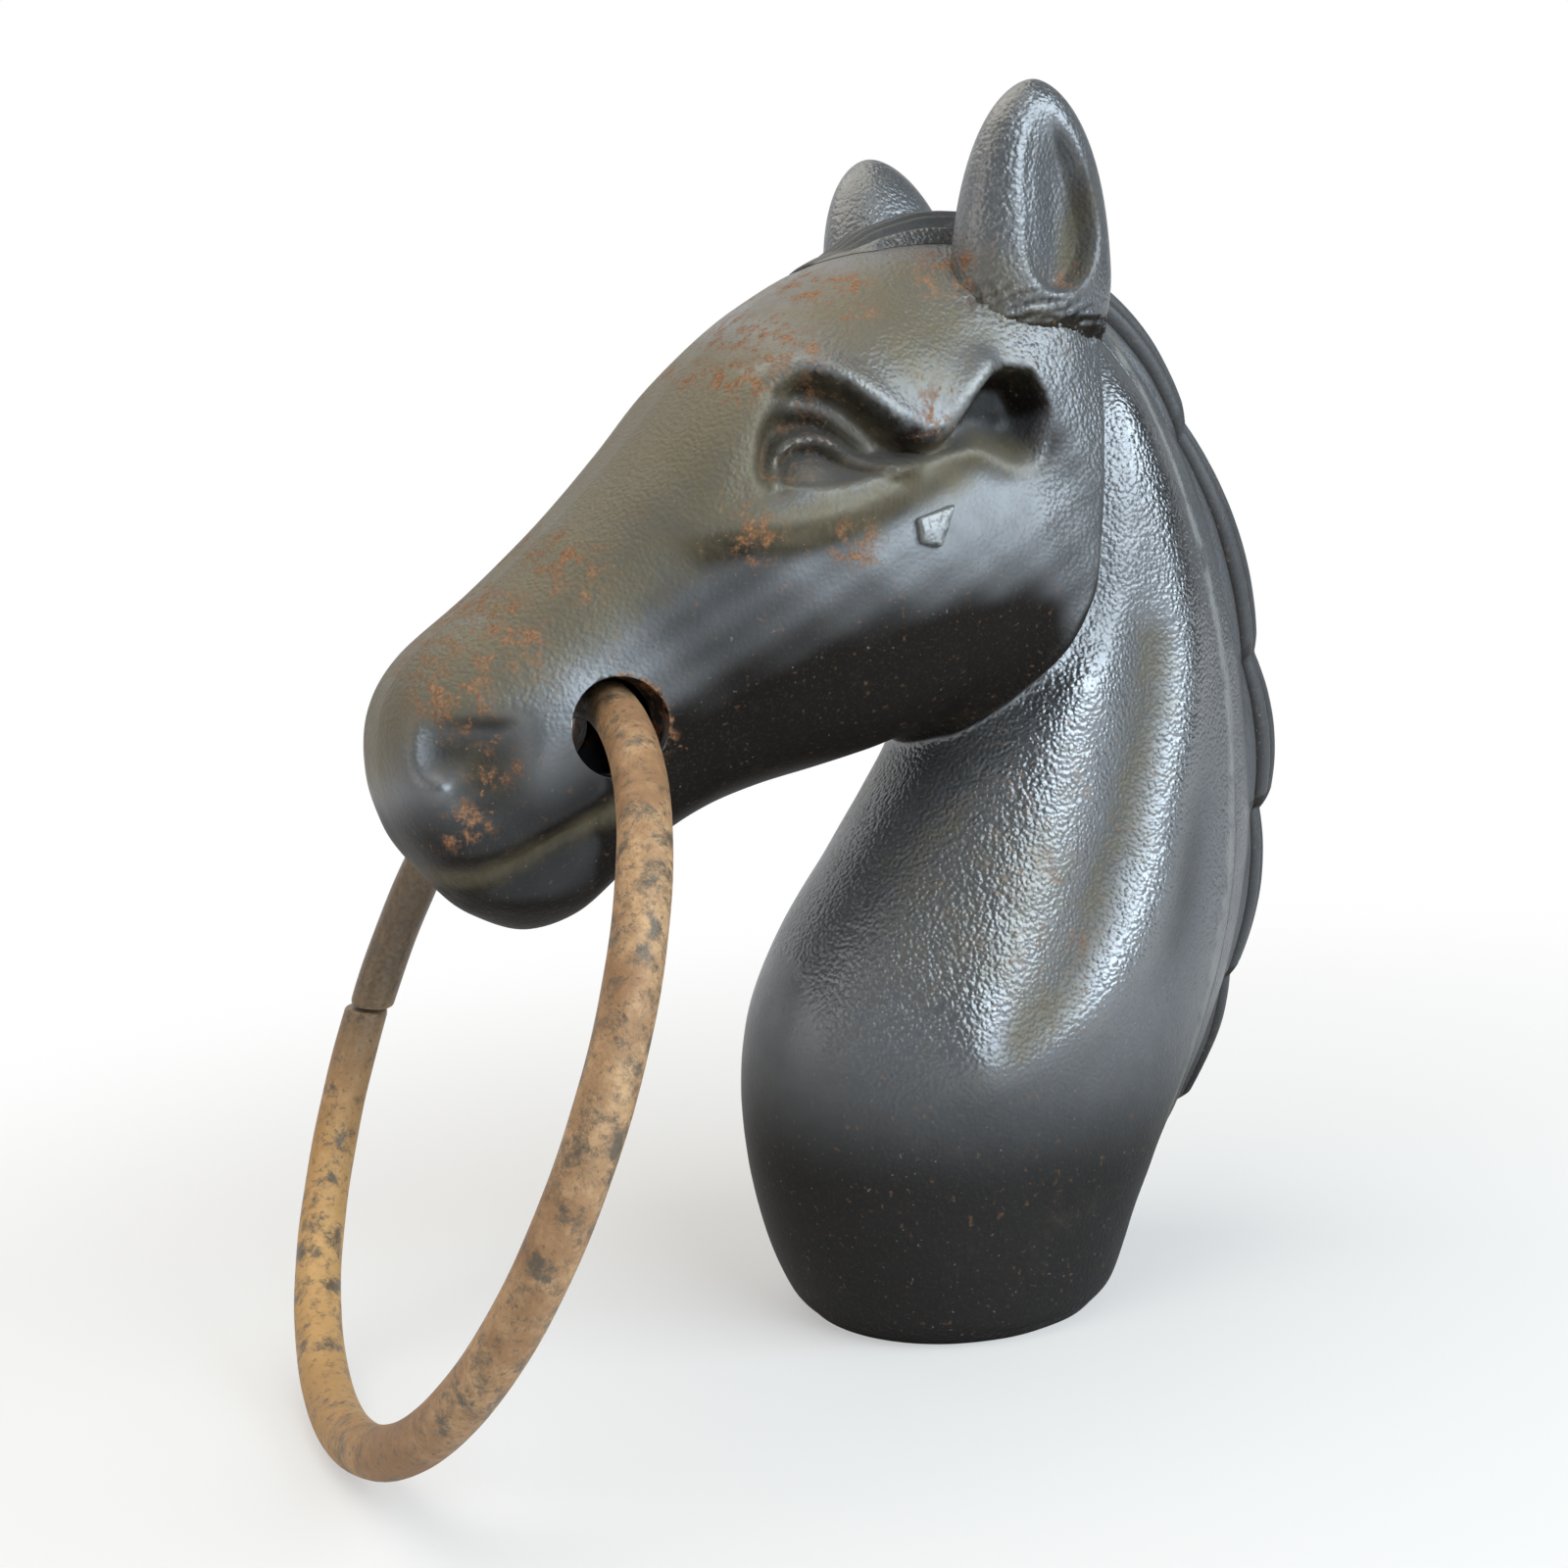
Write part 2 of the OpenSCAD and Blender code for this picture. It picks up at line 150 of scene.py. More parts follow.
# Depth of the eye socket, the channel behind it and the temple pit, and the width of their walls
SOCKET_X = (-15, -8, 0, 6, 12, 18, 26, 34, 45, 52)
SOCKET_DEPTH = (9, 10, 8, 5, 4.6, 6.4, 9, 9.6, 8, 5)
UPPER_WALL = (3.4, 3.2, 3, 2.8, 2.8, 2.8, 3.2, 4.6, 11, 13)
LOWER_WALL = (10, 9.5, 7, 3.4, 2.6, 3.4, 6.5, 8, 8, 8)

# Height of the cheek over the plain section, along x, and the width of the slope at its edge
CHEEK_X = (-38, -30, -22, -12, 12)
CHEEK_HEIGHT = (4.2, 6, 6.8, 6.9, 5.6)
CHEEK_SLOPE = 4.6
# Ridges and, with a minus, grooves on the side: height, run and half width
RIDGES = (
    (1.4, EAR_SEAM, 5.5),
    (2.6, UPPER_LID, 1.3),
    (1.6, LOWER_LID, 1.1),
    (-3, MOUTH, 1.9),
    (-1.4, LOWER_LIP, 3.4),
    (1.4, UPPER_LIP, 2.6),
    (3.2, FRONT_MUSCLE, 12),
    (2.2, REAR_MUSCLE, 8.5),
    (-1.5, NECK_GROOVE, 6.5),
    (-0.9, MUSCLE_FOOT, 9),
    (0.4, ROOT_LINE, 0.9),
)
# Swellings on the side: height, x and z of the middle, two half widths and turn in degrees
JAW = (2.4, 2, 143, 24, 12, 0)
EYEBALL = (4, 35, 172.6, 4.2, 2.7, -6)
EYE_CORNER = (0.8, 43.4, 170.2, 1.6, 1.5, 0)
NOSTRIL_KNOB = (4, 105, 121.6, 3.8, 3.4, 0)
HOLE_BOSS = (2.7, 80, 129, 13, 12, 0)
CHIN = (1.6, 87, 98, 11, 5, 10)
# Spots where rust has come through: x and z of the middle, and half width
RUST_SPOTS = ((92, 148, 13), (100, 138, 9), (78, 158, 8), (45, 190, 8), (36, 197, 9), (12, 181, 6),
              (22, 206, 9), (96, 124, 6), (102, 115, 6), (48, 161, 7), (30, 158, 6), (-22, 206, 4),
              (66, 126, 4), (0, 208, 8))


def along(table, u):
    """Row of a table at place u, on a smooth cubic whose slope at a row comes from the rows beside it."""
    last = len(table) - 1
    u = np.asarray(u, float)
    i = np.clip(np.floor(u).astype(int), 0, last - 1)
    f = (u - i)[..., None]
    rows = np.vstack([2 * table[0] - table[1], table, 2 * table[-1] - table[-2]])
    a, b, c, d = rows[i], rows[i + 1], rows[i + 2], rows[i + 3]
    return 0.5 * (2 * b + (c - a) * f + (2 * a - 5 * b + 4 * c - d) * f**2 + (3 * b - a - 3 * c + d) * f**3)


def fine_run(points, closed=False):
    """Points on the same smooth cubic through a run of points, a few steps from each point to the next."""
    steps = 4
    points = np.asarray(points, float)
    if closed:
        points = np.vstack([points, points[:1]])
        table = np.vstack([points[-2], points, points[1]])
        return along(table, np.arange(1, len(points), 1 / steps))[:-1]
    return along(points, np.linspace(0, len(points) - 1, (len(points) - 1) * steps + 1))


def run_distance(x, z, run, closed=False):
    """Squared distance from each point to the nearest straight piece of a run of points."""
    ends = np.roll(run, -1, 0) if closed else run[1:]
    best = np.full(np.shape(x), 1e9)
    for a, b in zip(run, ends):
        d = b - a
        t = np.clip(((x - a[0]) * d[0] + (z - a[1]) * d[1]) / (d @ d), 0, 1)
        best = np.minimum(best, (x - a[0] - t * d[0])**2 + (z - a[1] - t * d[1])**2)
    return best


def only_near(x, z, run, reach, height):
    """Height at the points in a run's box, grown by reach, and 0 elsewhere."""
    low, high = run.min(0) - reach, run.max(0) + reach
    k = (x > low[0]) & (x < high[0]) & (z > low[1]) & (z < high[1])
    out = np.zeros(np.shape(x))
    out[k] = height(x[k], z[k])
    return out


def ridge(x, z, points, half):
    """Bell ridge along a run of points: e to the minus squared distance over the half width squared."""
    run = fine_run(points)
    return only_near(x, z, run, 3 * half, lambda x, z: np.exp(-run_distance(x, z, run) / half**2))


def inside(x, z, run):
    """True inside a closed run: a level line from the point crosses the run an odd number of times."""
    odd = np.zeros(np.shape(x), bool)
    for a, b in zip(run, np.roll(run, -1, 0)):
        rise = b[1] - a[1]
        if abs(rise) > 1e-9:
            odd ^= ((a[1] > z) != (b[1] > z)) & (x < (b[0] - a[0]) * (z - a[1]) / rise + a[0])
    return odd


def sunk(x, z, points, slope):
    """Share of full depth inside a closed outline: an S-curve from 0 at its edge to 1 at slope inside it."""
    run = fine_run(points, closed=True)

    def depth(x, z):
        return soft_step(np.sqrt(run_distance(x, z, run, True)) / slope) * inside(x, z, run)

    return only_near(x, z, run, 0.1, depth)


def eye_socket(x, z):
    """Depth of the socket, the channel and the temple pit: a wall falls from each rim on an S-curve."""
    upper, lower = fine_run(UPPER_RIM), fine_run(LOWER_RIM)
    rim = np.vstack([upper, lower[1:-1]])

    def depth(x, z):
        high = np.sqrt(run_distance(x, z, upper)) / np.interp(x, SOCKET_X, UPPER_WALL)
        low = np.sqrt(run_distance(x, z, lower)) / np.interp(x, SOCKET_X, LOWER_WALL)
        full = np.interp(x, SOCKET_X, SOCKET_DEPTH)
        return full * soft_step(high) * soft_step(low) * inside(x, z, rim)

    return only_near(x, z, rim, 0.1, depth)


def turned(x, z, cx, cz, turn):
    """Place x z about a middle, turned by an angle in degrees."""
    c, s = math.cos(math.radians(turn)), math.sin(math.radians(turn))
    return (x - cx) * c + (z - cz) * s, (z - cz) * c - (x - cx) * s


def bump(x, z, cx, cz, rx, rz, turn=0):
    """Round bell swelling about a point, with two half widths, turned by an angle in degrees."""
    p, q = turned(x, z, cx, cz, turn)
    return np.exp(-(p / rx)**2 - (q / rz)**2)


def dish(x, z, cx, cz, rx, rz, turn, power=3.2):
    """Flat-bottomed dish with a soft edge: a bell with a power above 2."""
    p, q = turned(x, z, cx, cz, turn)
    return np.exp(-np.abs(p / rx)**power - np.abs(q / rz)**power)


def bell(u, middle, width):
    """Bell curve: e to the minus square of the distance from the middle over the width."""
    return np.exp(-((u - middle) / width)**2)


def turns(count):
    """Equal angles round a circle."""
    return np.linspace(0, 2 * math.pi, count, endpoint=False)


def soft_step(x, start=0, end=1):
    """S-curve from 0 at start to 1 at end."""
    t = np.clip((x - start) / (end - start), 0, 1)
    return t * t * (3 - 2 * t)


def crackle(x, y, z):
    """Uneven pits of a torn joint: products of sines whose phases are bent by slower sines."""
    p = 1.9 * x + 0.8 * z + 1.6 * np.sin(0.5 * z + 0.6 * y)
    q = 1.2 * x - 1.7 * z + 1.8 * np.sin(0.45 * x + 0.3)
    return np.sin(p) * np.sin(q) + 0.5 * np.sin(1.8 * p + 1) * np.sin(2.3 * q)


def relief(x, z):
    """Height of the side forms over the plain section of the rings."""
    side = sunk(x, z, HEAD_SIDE, CHEEK_SLOPE)
    plate = np.interp(x, CHEEK_X, CHEEK_HEIGHT) * side / (1 + np.exp((x - 30) / 9))
    plate *= 1 - 0.6 * soft_step(z, 184, 205) * soft_step(x, -22, 4)
    cheek = (plate + 1.6 * bump(x, z, -25, 196, 11, 9) * side
             - 2.4 * bump(x, z, 3, 170, 26, 9) * soft_step(x, -26, -10)
             - 3.2 * ridge(x, z, CREASE, 5) * (1 - side))
    torn_seam = (0.95 * crackle(x, 0 * x, z) - 0.5) * ridge(x, z, EAR_SEAM, 3.6)
    brow = 1.4 * ridge(x, z, BROW, 2.8) * np.interp(x, (36, 47), (1, 0.3))
    lids = (2.8 * ridge(x, z, LID_FOLD, 1.8) * np.interp(x, (34, 44, 50), (1, 0.5, 0.2))
            - 1.2 * ridge(x, z + 2, UPPER_LID, 1) - ridge(x, z - 2.8, UPPER_LID, 1.2))
    cheekbone = 1.7 * ridge(x, z, CHEEKBONE, 3.4) * soft_step(x, 2, 24)
    nostril = dish(x, z, 99.4, 125.2, 8.4, 8, 8, 5)
    lip_edge = np.interp(x, (70, 78, 86, 97.5, 105.7, 111), (116, 112.8, 109.7, 105.4, 104.6, 107))
    lip = soft_step(lip_edge - z, 0.5, 3.5) * soft_step(x, 68, 80)
    forms = cheek + torn_seam + brow + lids + cheekbone - eye_socket(x, z) - 4.4 * nostril - 2.2 * lip
    for height, run, half in RIDGES:
        forms = forms + height * ridge(x, z, run, half)
    for height, *place in (JAW, EYEBALL, EYE_CORNER, NOSTRIL_KNOB, HOLE_BOSS, CHIN):
        forms = forms + height * bump(x, z, *place)
    return forms


def cast_wobble(x, y, z):
    """Slow unevenness of a hand-made mould, about 0.2 mm high: sines of unlike wavelengths."""
    return (0.12 * np.sin(0.21 * x + 0.6) * np.sin(0.17 * z + 0.4) * np.cos(0.13 * y)
            + 0.05 * np.sin(0.39 * x - 0.31 * z + 0.2 * y) + 0.03 * np.sin(0.83 * z + 0.47 * x))


def cut_depth(u):
    """Depth of the mane's flat at ring u."""
    return np.interp(u, FLAT_AT, FLAT_DEPTH)


def half_depth(s):
    """Half the distance from the front to the back of a ring."""
    return np.hypot(s[..., 2] - s[..., 0], s[..., 3] - s[..., 1]) / 2


def flat_angle(u):
    """Angle round ring u where the mane's flat ends, from the flat's depth over half the ring's depth."""
    return np.arccos(1 - cut_depth(u) / half_depth(along(PROFILE, u)))


def side_plane(s, t):
    """Point x z at share t from the middle of a ring, -1 at its front and 1 at its back."""
    return [(s[..., i] + s[..., i + 2]) / 2 + t * (s[..., i + 2] - s[..., i]) / 2 for i in (0, 1)]


def skin(u, v):
    """Left half of the outer skin: ring u, angle v from the back round to the front.

    The section is a curve whose half width falls as the square root of one less the cosine to the ring's
    fullness, and the side relief is added to it, less towards the edges and the muzzle's tip.
    """
    s = along(PROFILE, u)
    t = np.cos(v)
    x, z = side_plane(s, t)
    full = np.sqrt(np.maximum(0, 1 - np.abs(t)**np.where(t > 0, s[..., 5], s[..., 6])))
    wide = np.maximum(s[..., 4], 0)
    forms = relief(x, z) * np.clip(1.6 * full, 0, 1)**1.5 * np.clip(wide / 14, 0, 1)
    y = wide * full + forms
    y = y + cast_wobble(x, y, z) * np.clip(2 * full, 0, 1)
    return np.stack([x, np.maximum(y, 0), z], -1)


def head_loops():
    """Closed rings of the skin: the mane's flat, the side at equal steps along its curve, and the mirror."""
    rings = np.concatenate([np.linspace(0, 10, 121)[:-1], np.linspace(10, 19, 211)[:-1],
                            np.linspace(19, 21.85, 52)])
    flat_steps, side_steps, fine = 4, 112, 420
    start = flat_angle(rings)
    share = np.linspace(0, 1, fine)
    v = start[:, None] + (math.pi - start)[:, None] * share
    curve = skin(np.repeat(rings[:, None], fine, 1), v)
    length = np.cumsum(np.linalg.norm(np.diff(curve, axis=1), axis=2), 1)
    length = np.hstack([np.zeros((len(rings), 1)), length])
    even = np.linspace(0, 1, side_steps + 1)
    v = np.stack([np.interp(even * run[-1], run, row) for run, row in zip(length, v)])
    side = skin(np.repeat(rings[:, None], side_steps + 1, 1), v)
    side[:, -1, 1] = 0
    share = np.arange(flat_steps) / flat_steps
    flat = side[:, :1] * np.stack([share**0, share, share**0], -1)
    half = np.concatenate([flat, side], 1)
    return np.concatenate([half, half[:, -2:0:-1] * MIRROR], 1)


def core_loops():
    """Closed rings of the hollow: ellipses set in from the skin's rings by the wall, and rounded ends."""
    wall, start, end = 7, 3.9, 19.4
    g = np.linspace(-0.985, 0.985, 48)
    u = start + (end - start) / 2 * (1 + g)
    k = np.sqrt(1 - np.abs(g)**6)[:, None]
    s = along(PROFILE, u)
    front_wall = wall + 8 * bell(u, 9.2, 1.7)
    side_wall = wall + 5 * bell(u, 11.5, 2.6) + 2 * bell(u, 7, 2.5)
    a, b = s[:, 0:2], s[:, 2:4]
    way = (b - a) / np.linalg.norm(b - a, axis=1)[:, None]
    p, q = a + way * front_wall[:, None], b - way * (wall + cut_depth(u))[:, None]
    mid, half, wide = (p + q) / 2, (q - p) / 2 * k, (s[:, 4] - side_wall)[:, None] * k
    turn = turns(56)
    return np.stack([mid[:, :1] + half[:, :1] * np.cos(turn), wide * np.sin(turn),
                     mid[:, 1:] + half[:, 1:] * np.cos(turn)], -1)


def bore_loops(radius, low, high, steps=96):
    """Two circles about the Z axis."""
    turn = turns(steps)
    circle = np.stack([radius * np.cos(turn), radius * np.sin(turn), 0 * turn], -1)
    return np.stack([circle + (0, 0, low), circle + (0, 0, high)])


def hole_loops(skin_points, centre, radius):
    """Cutter for the muzzle hole: circles along Y that follow the skin on both sides and swell at its rim.

    The swelling falls as e to the minus depth over its reach.
    """
    swelling, reach = 0.12, 0.5
    ring = np.stack([np.cos(turns(96)), np.sin(turns(96))], -1)
    left = skin_points[skin_points[:, 1] > 5]
    spot = np.array(centre) + ring * (radius + 0.5)
    gap = np.hypot(left[:, 0, None] - spot[:, 0], left[:, 2, None] - spot[:, 1])
    weight = 1 / (gap**2 + 0.05)**3
    rim = (weight * left[:, 1, None]).sum(0) / weight.sum(0)
    depth = np.array([-6, -0.4, 0, 0.25, 0.5, 0.9, 1.5, 2.5, 4])
    swell = radius + swelling * np.exp(-np.maximum(depth, 0) / reach)
    half = np.stack([centre[0] + swell[:, None] * ring[:, 0], rim - depth[:, None],
                     centre[1] + swell[:, None] * ring[:, 1]], -1)
    return np.concatenate([half, half[::-1] * MIRROR])


def ear_loops():
    """Rings of the left ear, and its tip: ovals about its axis that swell from the root and then close.

    On the outer side a hollow sinks inside its outline, deeper towards the rear. The root's seam is torn.
    """
    root, span = np.array([-19.8, 21.5, 185.0]), np.array([2.3, 11.4, 57.7])
    reach, half_length, half_width = 58.9, 17.7, 11
    way = span / np.linalg.norm(span)
    k = np.concatenate([np.linspace(0, 0.9, 84)[:-1], 1 - 0.1 * np.linspace(1, 0.05, 20)**2])[:, None]
    a = turns(132)[None, ::-1]
    grow = (1 - k**3.2)**0.56 * (1 - 0.7 * np.clip(1 - k / 0.2, 0, 1)**1.6)
    low = np.clip(1 - k / 0.42, 0, 1)
    c = root + way * (reach * k)[..., None] + (low**2)[..., None] * np.array([4.5, -5.5, 0])
    out = c + (grow * half_length * np.cos(a))[..., None] * np.array([1, 0, 0]) \
        + (grow * half_width * np.sin(a))[..., None] * np.array([0, 1, -0.2])
    x, y, z = np.moveaxis(out, -1, 0)
    dent = sunk(x, z, SHELL, 3.6) * (0.9 + 4.1 * soft_step(-x, 10, 22)) * np.clip((y - c[..., 1]) / 5, 0, 1)
    dent *= soft_step(240 - z, 1, 15)
    torn = 0.55 * crackle(x, y, z) * bell(z - 0.2 * x, 203, 3.5)
    out += torn[..., None] * (out - c) / np.maximum(np.linalg.norm(out - c, axis=2), 1)[..., None]
    out[..., 1] -= dent
    return out, root + way * reach


def lock_of_hair(rings, w, top, tip, belly):
    """Height of a lock over the crest, its hair, the share across it and where it lies.

    It runs from its top ring to its tip. Across it the height falls as a rounded arch to its edge, and
    cosine waves that narrow with the lock cut its hair.
    """
    f = np.clip((top - rings) / (top - tip), 0, 1)
    reach = 0.3 + 0.42 * np.sin(math.pi / 2 * np.minimum(1, f / 0.6))
    reach = reach * np.sqrt(np.clip((1 - f) / 0.14, 0, 1))
    q = w / np.maximum(reach, 1e-3)
    arch = np.sqrt(np.clip(1 - q**2, 0, 1))
    hair = (0.5 + 0.5 * np.cos(math.pi * HAIR_WAVES * q + 0.9 * np.sin(3 * f) * np.sign(q)))**1.4
    swell = np.where(f < 0.6, 0.45 + 0.55 * np.sin(math.pi / 1.2 * np.minimum(f, 0.6)),
                     1 - 0.34 * ((f - 0.6) / 0.4)**2)
    lock = LOCK_RISE * belly * swell * arch - HAIR_DEPTH * hair * arch**0.3
    return lock, hair, q, (f > 0) & (f < 1) & (np.abs(q) < 1)


def forelock(rings, w):
    """Height of the hair over the poll, cut by cosine waves, and the share of it that shows."""
    height = np.interp(rings, (10, 11, 11.5, 12, 12.4), (5.4, 7.6, 5.9, 2.8, 0.6))
    hair = (0.5 + 0.5 * np.cos(math.pi * 8 * w + 0.6 * np.sin(2.2 * rings)))**1.6
    shown = soft_step(rings, 9.9, 10.4) * (1 - soft_step(rings, 11.9, 12.35))
    return height * (1 - np.abs(w)**2.4)**0.7 - 1.8 * hair * (1 - w**6), shown


def mane_loops():
    """Rings across the mane and the place of its hair: locks over the crest's curve, and a flat underside.

    The higher of neighbouring locks shows.
    """
    rings = np.linspace(MANE_START, MANE_END, 460)[:, None]
    w = np.linspace(-1, 1, 145)[None, :]
    s = along(PROFILE, rings)
    start = flat_angle(rings)
    wide, h = skin(rings, start)[..., 1], half_depth(s)
    low = np.cos(start) + MANE_GAP / h
    rise = np.interp(rings, STRIP_AT, STRIP_HEIGHT) * (1 - np.abs(w)**2.2)**0.8
    comb, groove = 0 * rise, 0 * rise
    for top, tip, belly in zip(LOCK_ENDS, LOCK_ENDS[1:], LOCK_BELLY):
        lock, hair, q, lies = lock_of_hair(rings, w, top + 0.5, tip - 0.12, belly)
        shown = lies & (lock > rise)
        comb = np.where(shown, 0.9 * hair * q, comb)
        groove = np.where(shown, hair, groove)
        rise = np.where(shown, lock, rise)
    fringe, poll = forelock(rings, w)
    rise = np.where(poll > 0, np.maximum(rise * (1 - poll), fringe * poll), rise)
    t = np.maximum(low + 0.1 / h, np.cos(start * np.abs(w)) + rise / h)
    x, z = side_plane(s, t)
    top = np.stack([x, np.sign(w) * wide * np.abs(w)**0.9 - comb, z], -1)
    x, z = side_plane(s, low)
    under = np.stack([np.stack([x, y, z], -1) for y in (wide, -wide)], 1)[:, :, 0]
    return np.concatenate([top, under], 1), groove


def ring_loops(radius, bar, centre, lean, gap, gap_turn):
    """Bar carried round a circle, open at a butt gap, with chamfered ends that don't quite meet in line."""
    first = gap / radius / 2
    last = 2 * math.pi - first
    ends = np.array([0, 0.25, 0.6, 1.0]) / radius
    t = np.concatenate([first + ends, np.linspace(first, last, 420)[3:-3], (last - ends)[::-1]])[:, None]
    from_first, to_last = (t - first) * radius, (last - t) * radius
    from_end = np.minimum(from_first, to_last)
    slip = 0.35 * (np.exp(-from_first / 12) - np.exp(-to_last / 12))
    a = turns(40)[None, :]
    dents = 0.05 * np.sin(9 * t) * np.cos(a - 1) + 0.04 * np.sin(23 * t + 1) * np.cos(2 * a)
    r = bar / 2 * (1 - 0.1 * np.exp(-from_end / 0.35)) + dents - 0.09
    turn = t + gap_turn + np.exp(-from_end / 3) * 0.3 * bar / 2 / radius * np.sin(a - 0.6)
    down = np.array([math.sin(lean), 0, -math.cos(lean)])
    across = np.array([0, 1.0, 0])
    normal = np.cross(down, across)
    out = np.cos(turn)[..., None] * down + np.sin(turn)[..., None] * across
    return np.array(centre) + (radius + slip * 0.4 + r * np.cos(a))[..., None] * out \
        + (slip + r * np.sin(a))[..., None] * normal


def chaplet_loops(side):
    """Stem circles, then a kite with rounded corners carried up to a domed, uneven top."""
    a = turns(64)
    long, wide, turn = 10.5 / 2, 6.8 / 2, math.radians(142)
    corners = np.array([(1.15 * long, 0), (-0.35 * long, wide), (-0.85 * long, 0), (-0.35 * long, -wide)])
    edges = np.roll(corners, -1, 0) - corners
    normals = np.stack([edges[:, 1], -edges[:, 0]], -1) / np.linalg.norm(edges, axis=1)[:, None]
    offset = (normals * corners).sum(1)
    facing = np.stack([np.cos(a), np.sin(a)], -1) @ normals.T
    reach = 1 / (np.sum(np.maximum(facing / offset, 0)**14, 1)**(1 / 14))
    steps = [(23, 2, 0), (35.2, 2, 0), (35.4, 1.06, 1), (37.6, 1.06, 1), (38.4, 1.03, 1), (38.75, 0.96, 1),
             (38.9, 0.84, 1), (38.95, 0.5, 1), (38.85, 0.22, 1)]
    loops = []
    for y, size, kite in steps:
        r = size * reach if kite else size + 0 * a
        p, q = r * np.cos(a), r * np.sin(a)
        lump = kite * (y > 38) * 0.16 * np.sin(1.3 * p + 2) * np.sin(1.7 * q + 0.5)
        x = CHAPLET_X + p * math.cos(turn) - q * math.sin(turn)
        z = CHAPLET_Z + p * math.sin(turn) + q * math.cos(turn)
        tilt = kite * (0.05 * (x - CHAPLET_X) - 0.16 * (z - CHAPLET_Z))
        loops.append(np.stack([x, y + lump + tilt, z], -1))
    return np.stack(loops) * np.array([1, side, 1])


def loops_mesh(name, loops, tip=None):
    """Mesh through equal closed rings, each end drawn to the middle of its ring, or the last one to a tip.

    Faces are turned if they point inwards: the sum of the triangles' triple products is then negative.
    """
    m, n = loops.shape[:2]
    last = loops[-1].mean(0) if tip is None else tip
    points = np.vstack([loops.reshape(-1, 3), loops[0].mean(0), last]) * MM
    i, j = np.meshgrid(np.arange(m - 1), np.arange(n), indexing="ij")
    k = (j + 1) % n
    quads = np.stack([i * n + j, i * n + k, (i + 1) * n + k, (i + 1) * n + j], -1).reshape(-1, 4)
    j, k = j[0], k[0]
    caps = np.vstack([np.stack([k, j, 0 * j + m * n], -1),
                      np.stack([(m - 1) * n + j, (m - 1) * n + k, 0 * j + m * n + 1], -1)])
    a, b, c = points[np.vstack([quads[:, :3], quads[:, (0, 2, 3)], caps])].transpose(1, 0, 2)
    if (a * np.cross(b, c)).sum() < 0:
        quads, caps = quads[:, ::-1], caps[:, ::-1]
    mesh = bpy.data.meshes.new(name)
    mesh.from_pydata(points.tolist(), [], quads.tolist() + caps.tolist(), shade_flat=False)
    if mesh.validate():
        raise RuntimeError(f"{name} has faulty faces")
    return mesh


def points_of(mesh):
    """A mesh's points in millimetres."""
    flat = np.empty(len(mesh.vertices) * 3, np.float32)
    mesh.vertices.foreach_get("co", flat)
    return flat.reshape(-1, 3).astype(float) / MM


def new_object(name, loops, tip=None):
    """Object at the origin that shows a mesh through rings."""
    obj = bpy.data.objects.new(name, loops_mesh(name, loops, tip))
    bpy.context.scene.collection.objects.link(obj)
    return obj


def carve(obj, loops, tip=None):
    """Takes the inside of closed rings out of an object's mesh."""
    tool = new_object("cutter", loops, tip)
    modifier = obj.modifiers.new("cut", "BOOLEAN")
    modifier.operation, modifier.solver, modifier.object = "DIFFERENCE", "MANIFOLD", tool
    bpy.context.view_layer.update()
    cut = bpy.data.meshes.new_from_object(obj.evaluated_get(bpy.context.evaluated_depsgraph_get()))
    if not len(cut.polygons):
        raise RuntimeError(f"{obj.name} lost its faces to a cutter")
    obj.modifiers.clear()
    spent, name = (obj.data, tool.data), obj.data.name
    obj.data = cut
    bpy.data.objects.remove(tool)
    for mesh in spent:
        bpy.data.meshes.remove(mesh)
    cut.name = name


def dress(obj, node, material="painted_iron", body=HEAD_BODY, sharp=60):
    """Smooths a piece, gives it its material, hangs it under its body's empty and hides the CAD part that it
    stands for.
    """
    mesh = obj.data
    mesh.materials.clear()
    mesh.materials.append(bpy.data.materials[material])
    mesh.shade_smooth()
    mesh.set_sharp_from_angle(angle=math.radians(sharp))
    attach(obj, body)
    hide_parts(node)


def nose_height(x, z):
    """Height of a point, carried down the slope of the nose."""
    return z - 0.62 * (110 - x)


def coarse_skin(x, z):
    """Share of sand grain: full on the neck and the rear of the cheek, less on the face and at the foot."""
    edge = np.interp(z, (112, 125, 140.6, 146.2, 154, 162, 170.5, 185, 200, 215),
                     (14, -4, -17.6, -16.8, -13.7, -11.9, -12.9, -12, -6, -4))
    smooth = 0.8 - 0.45 * soft_step(nose_height(x, z), 118, 140)
    coarse = 1 - smooth * soft_step(x, edge - 2, edge + 4)
    return np.where((z < 112) & (x < 34), 1, coarse) * (0.4 + 0.6 * soft_step(z, 38, 72))


def worn_paint(x, z, socket):
    """Share of thin paint: nose, forehead, cheekbone, throat, neck's groove, mouth and eye socket; also
    olive brown on the rear of the ear's hollow.
    """
    worn = np.maximum.reduce([
        0.9 * soft_step(x, 14, 52) * soft_step(nose_height(x, z), 112, 132),
        0.9 * bump(x, z, 16, 200, 32, 16),
        0.8 * ridge(x, z, CHEEKBONE, 6),
        0.5 * bump(x, z, 4, 88, 28, 34),
        0.5 * ridge(x, z, NECK_GROOVE, 7),
        0.7 * ridge(x, z, MOUTH, 3.2),
        # Olive brown on the rear of the ear's hollow, where painted shade also falls
        0.7 * bump(x, z, -24, 213, 5, 12, 8),
    ])
    nostril = dish(x, z, 99.8, 124.5, 9, 8, 8)
    eye = 0.45 * soft_step(socket, 1, 5) * soft_step(x, 4, 20)
    return np.maximum.reduce([worn * (1 - nostril), 0.4 * nostril, eye])


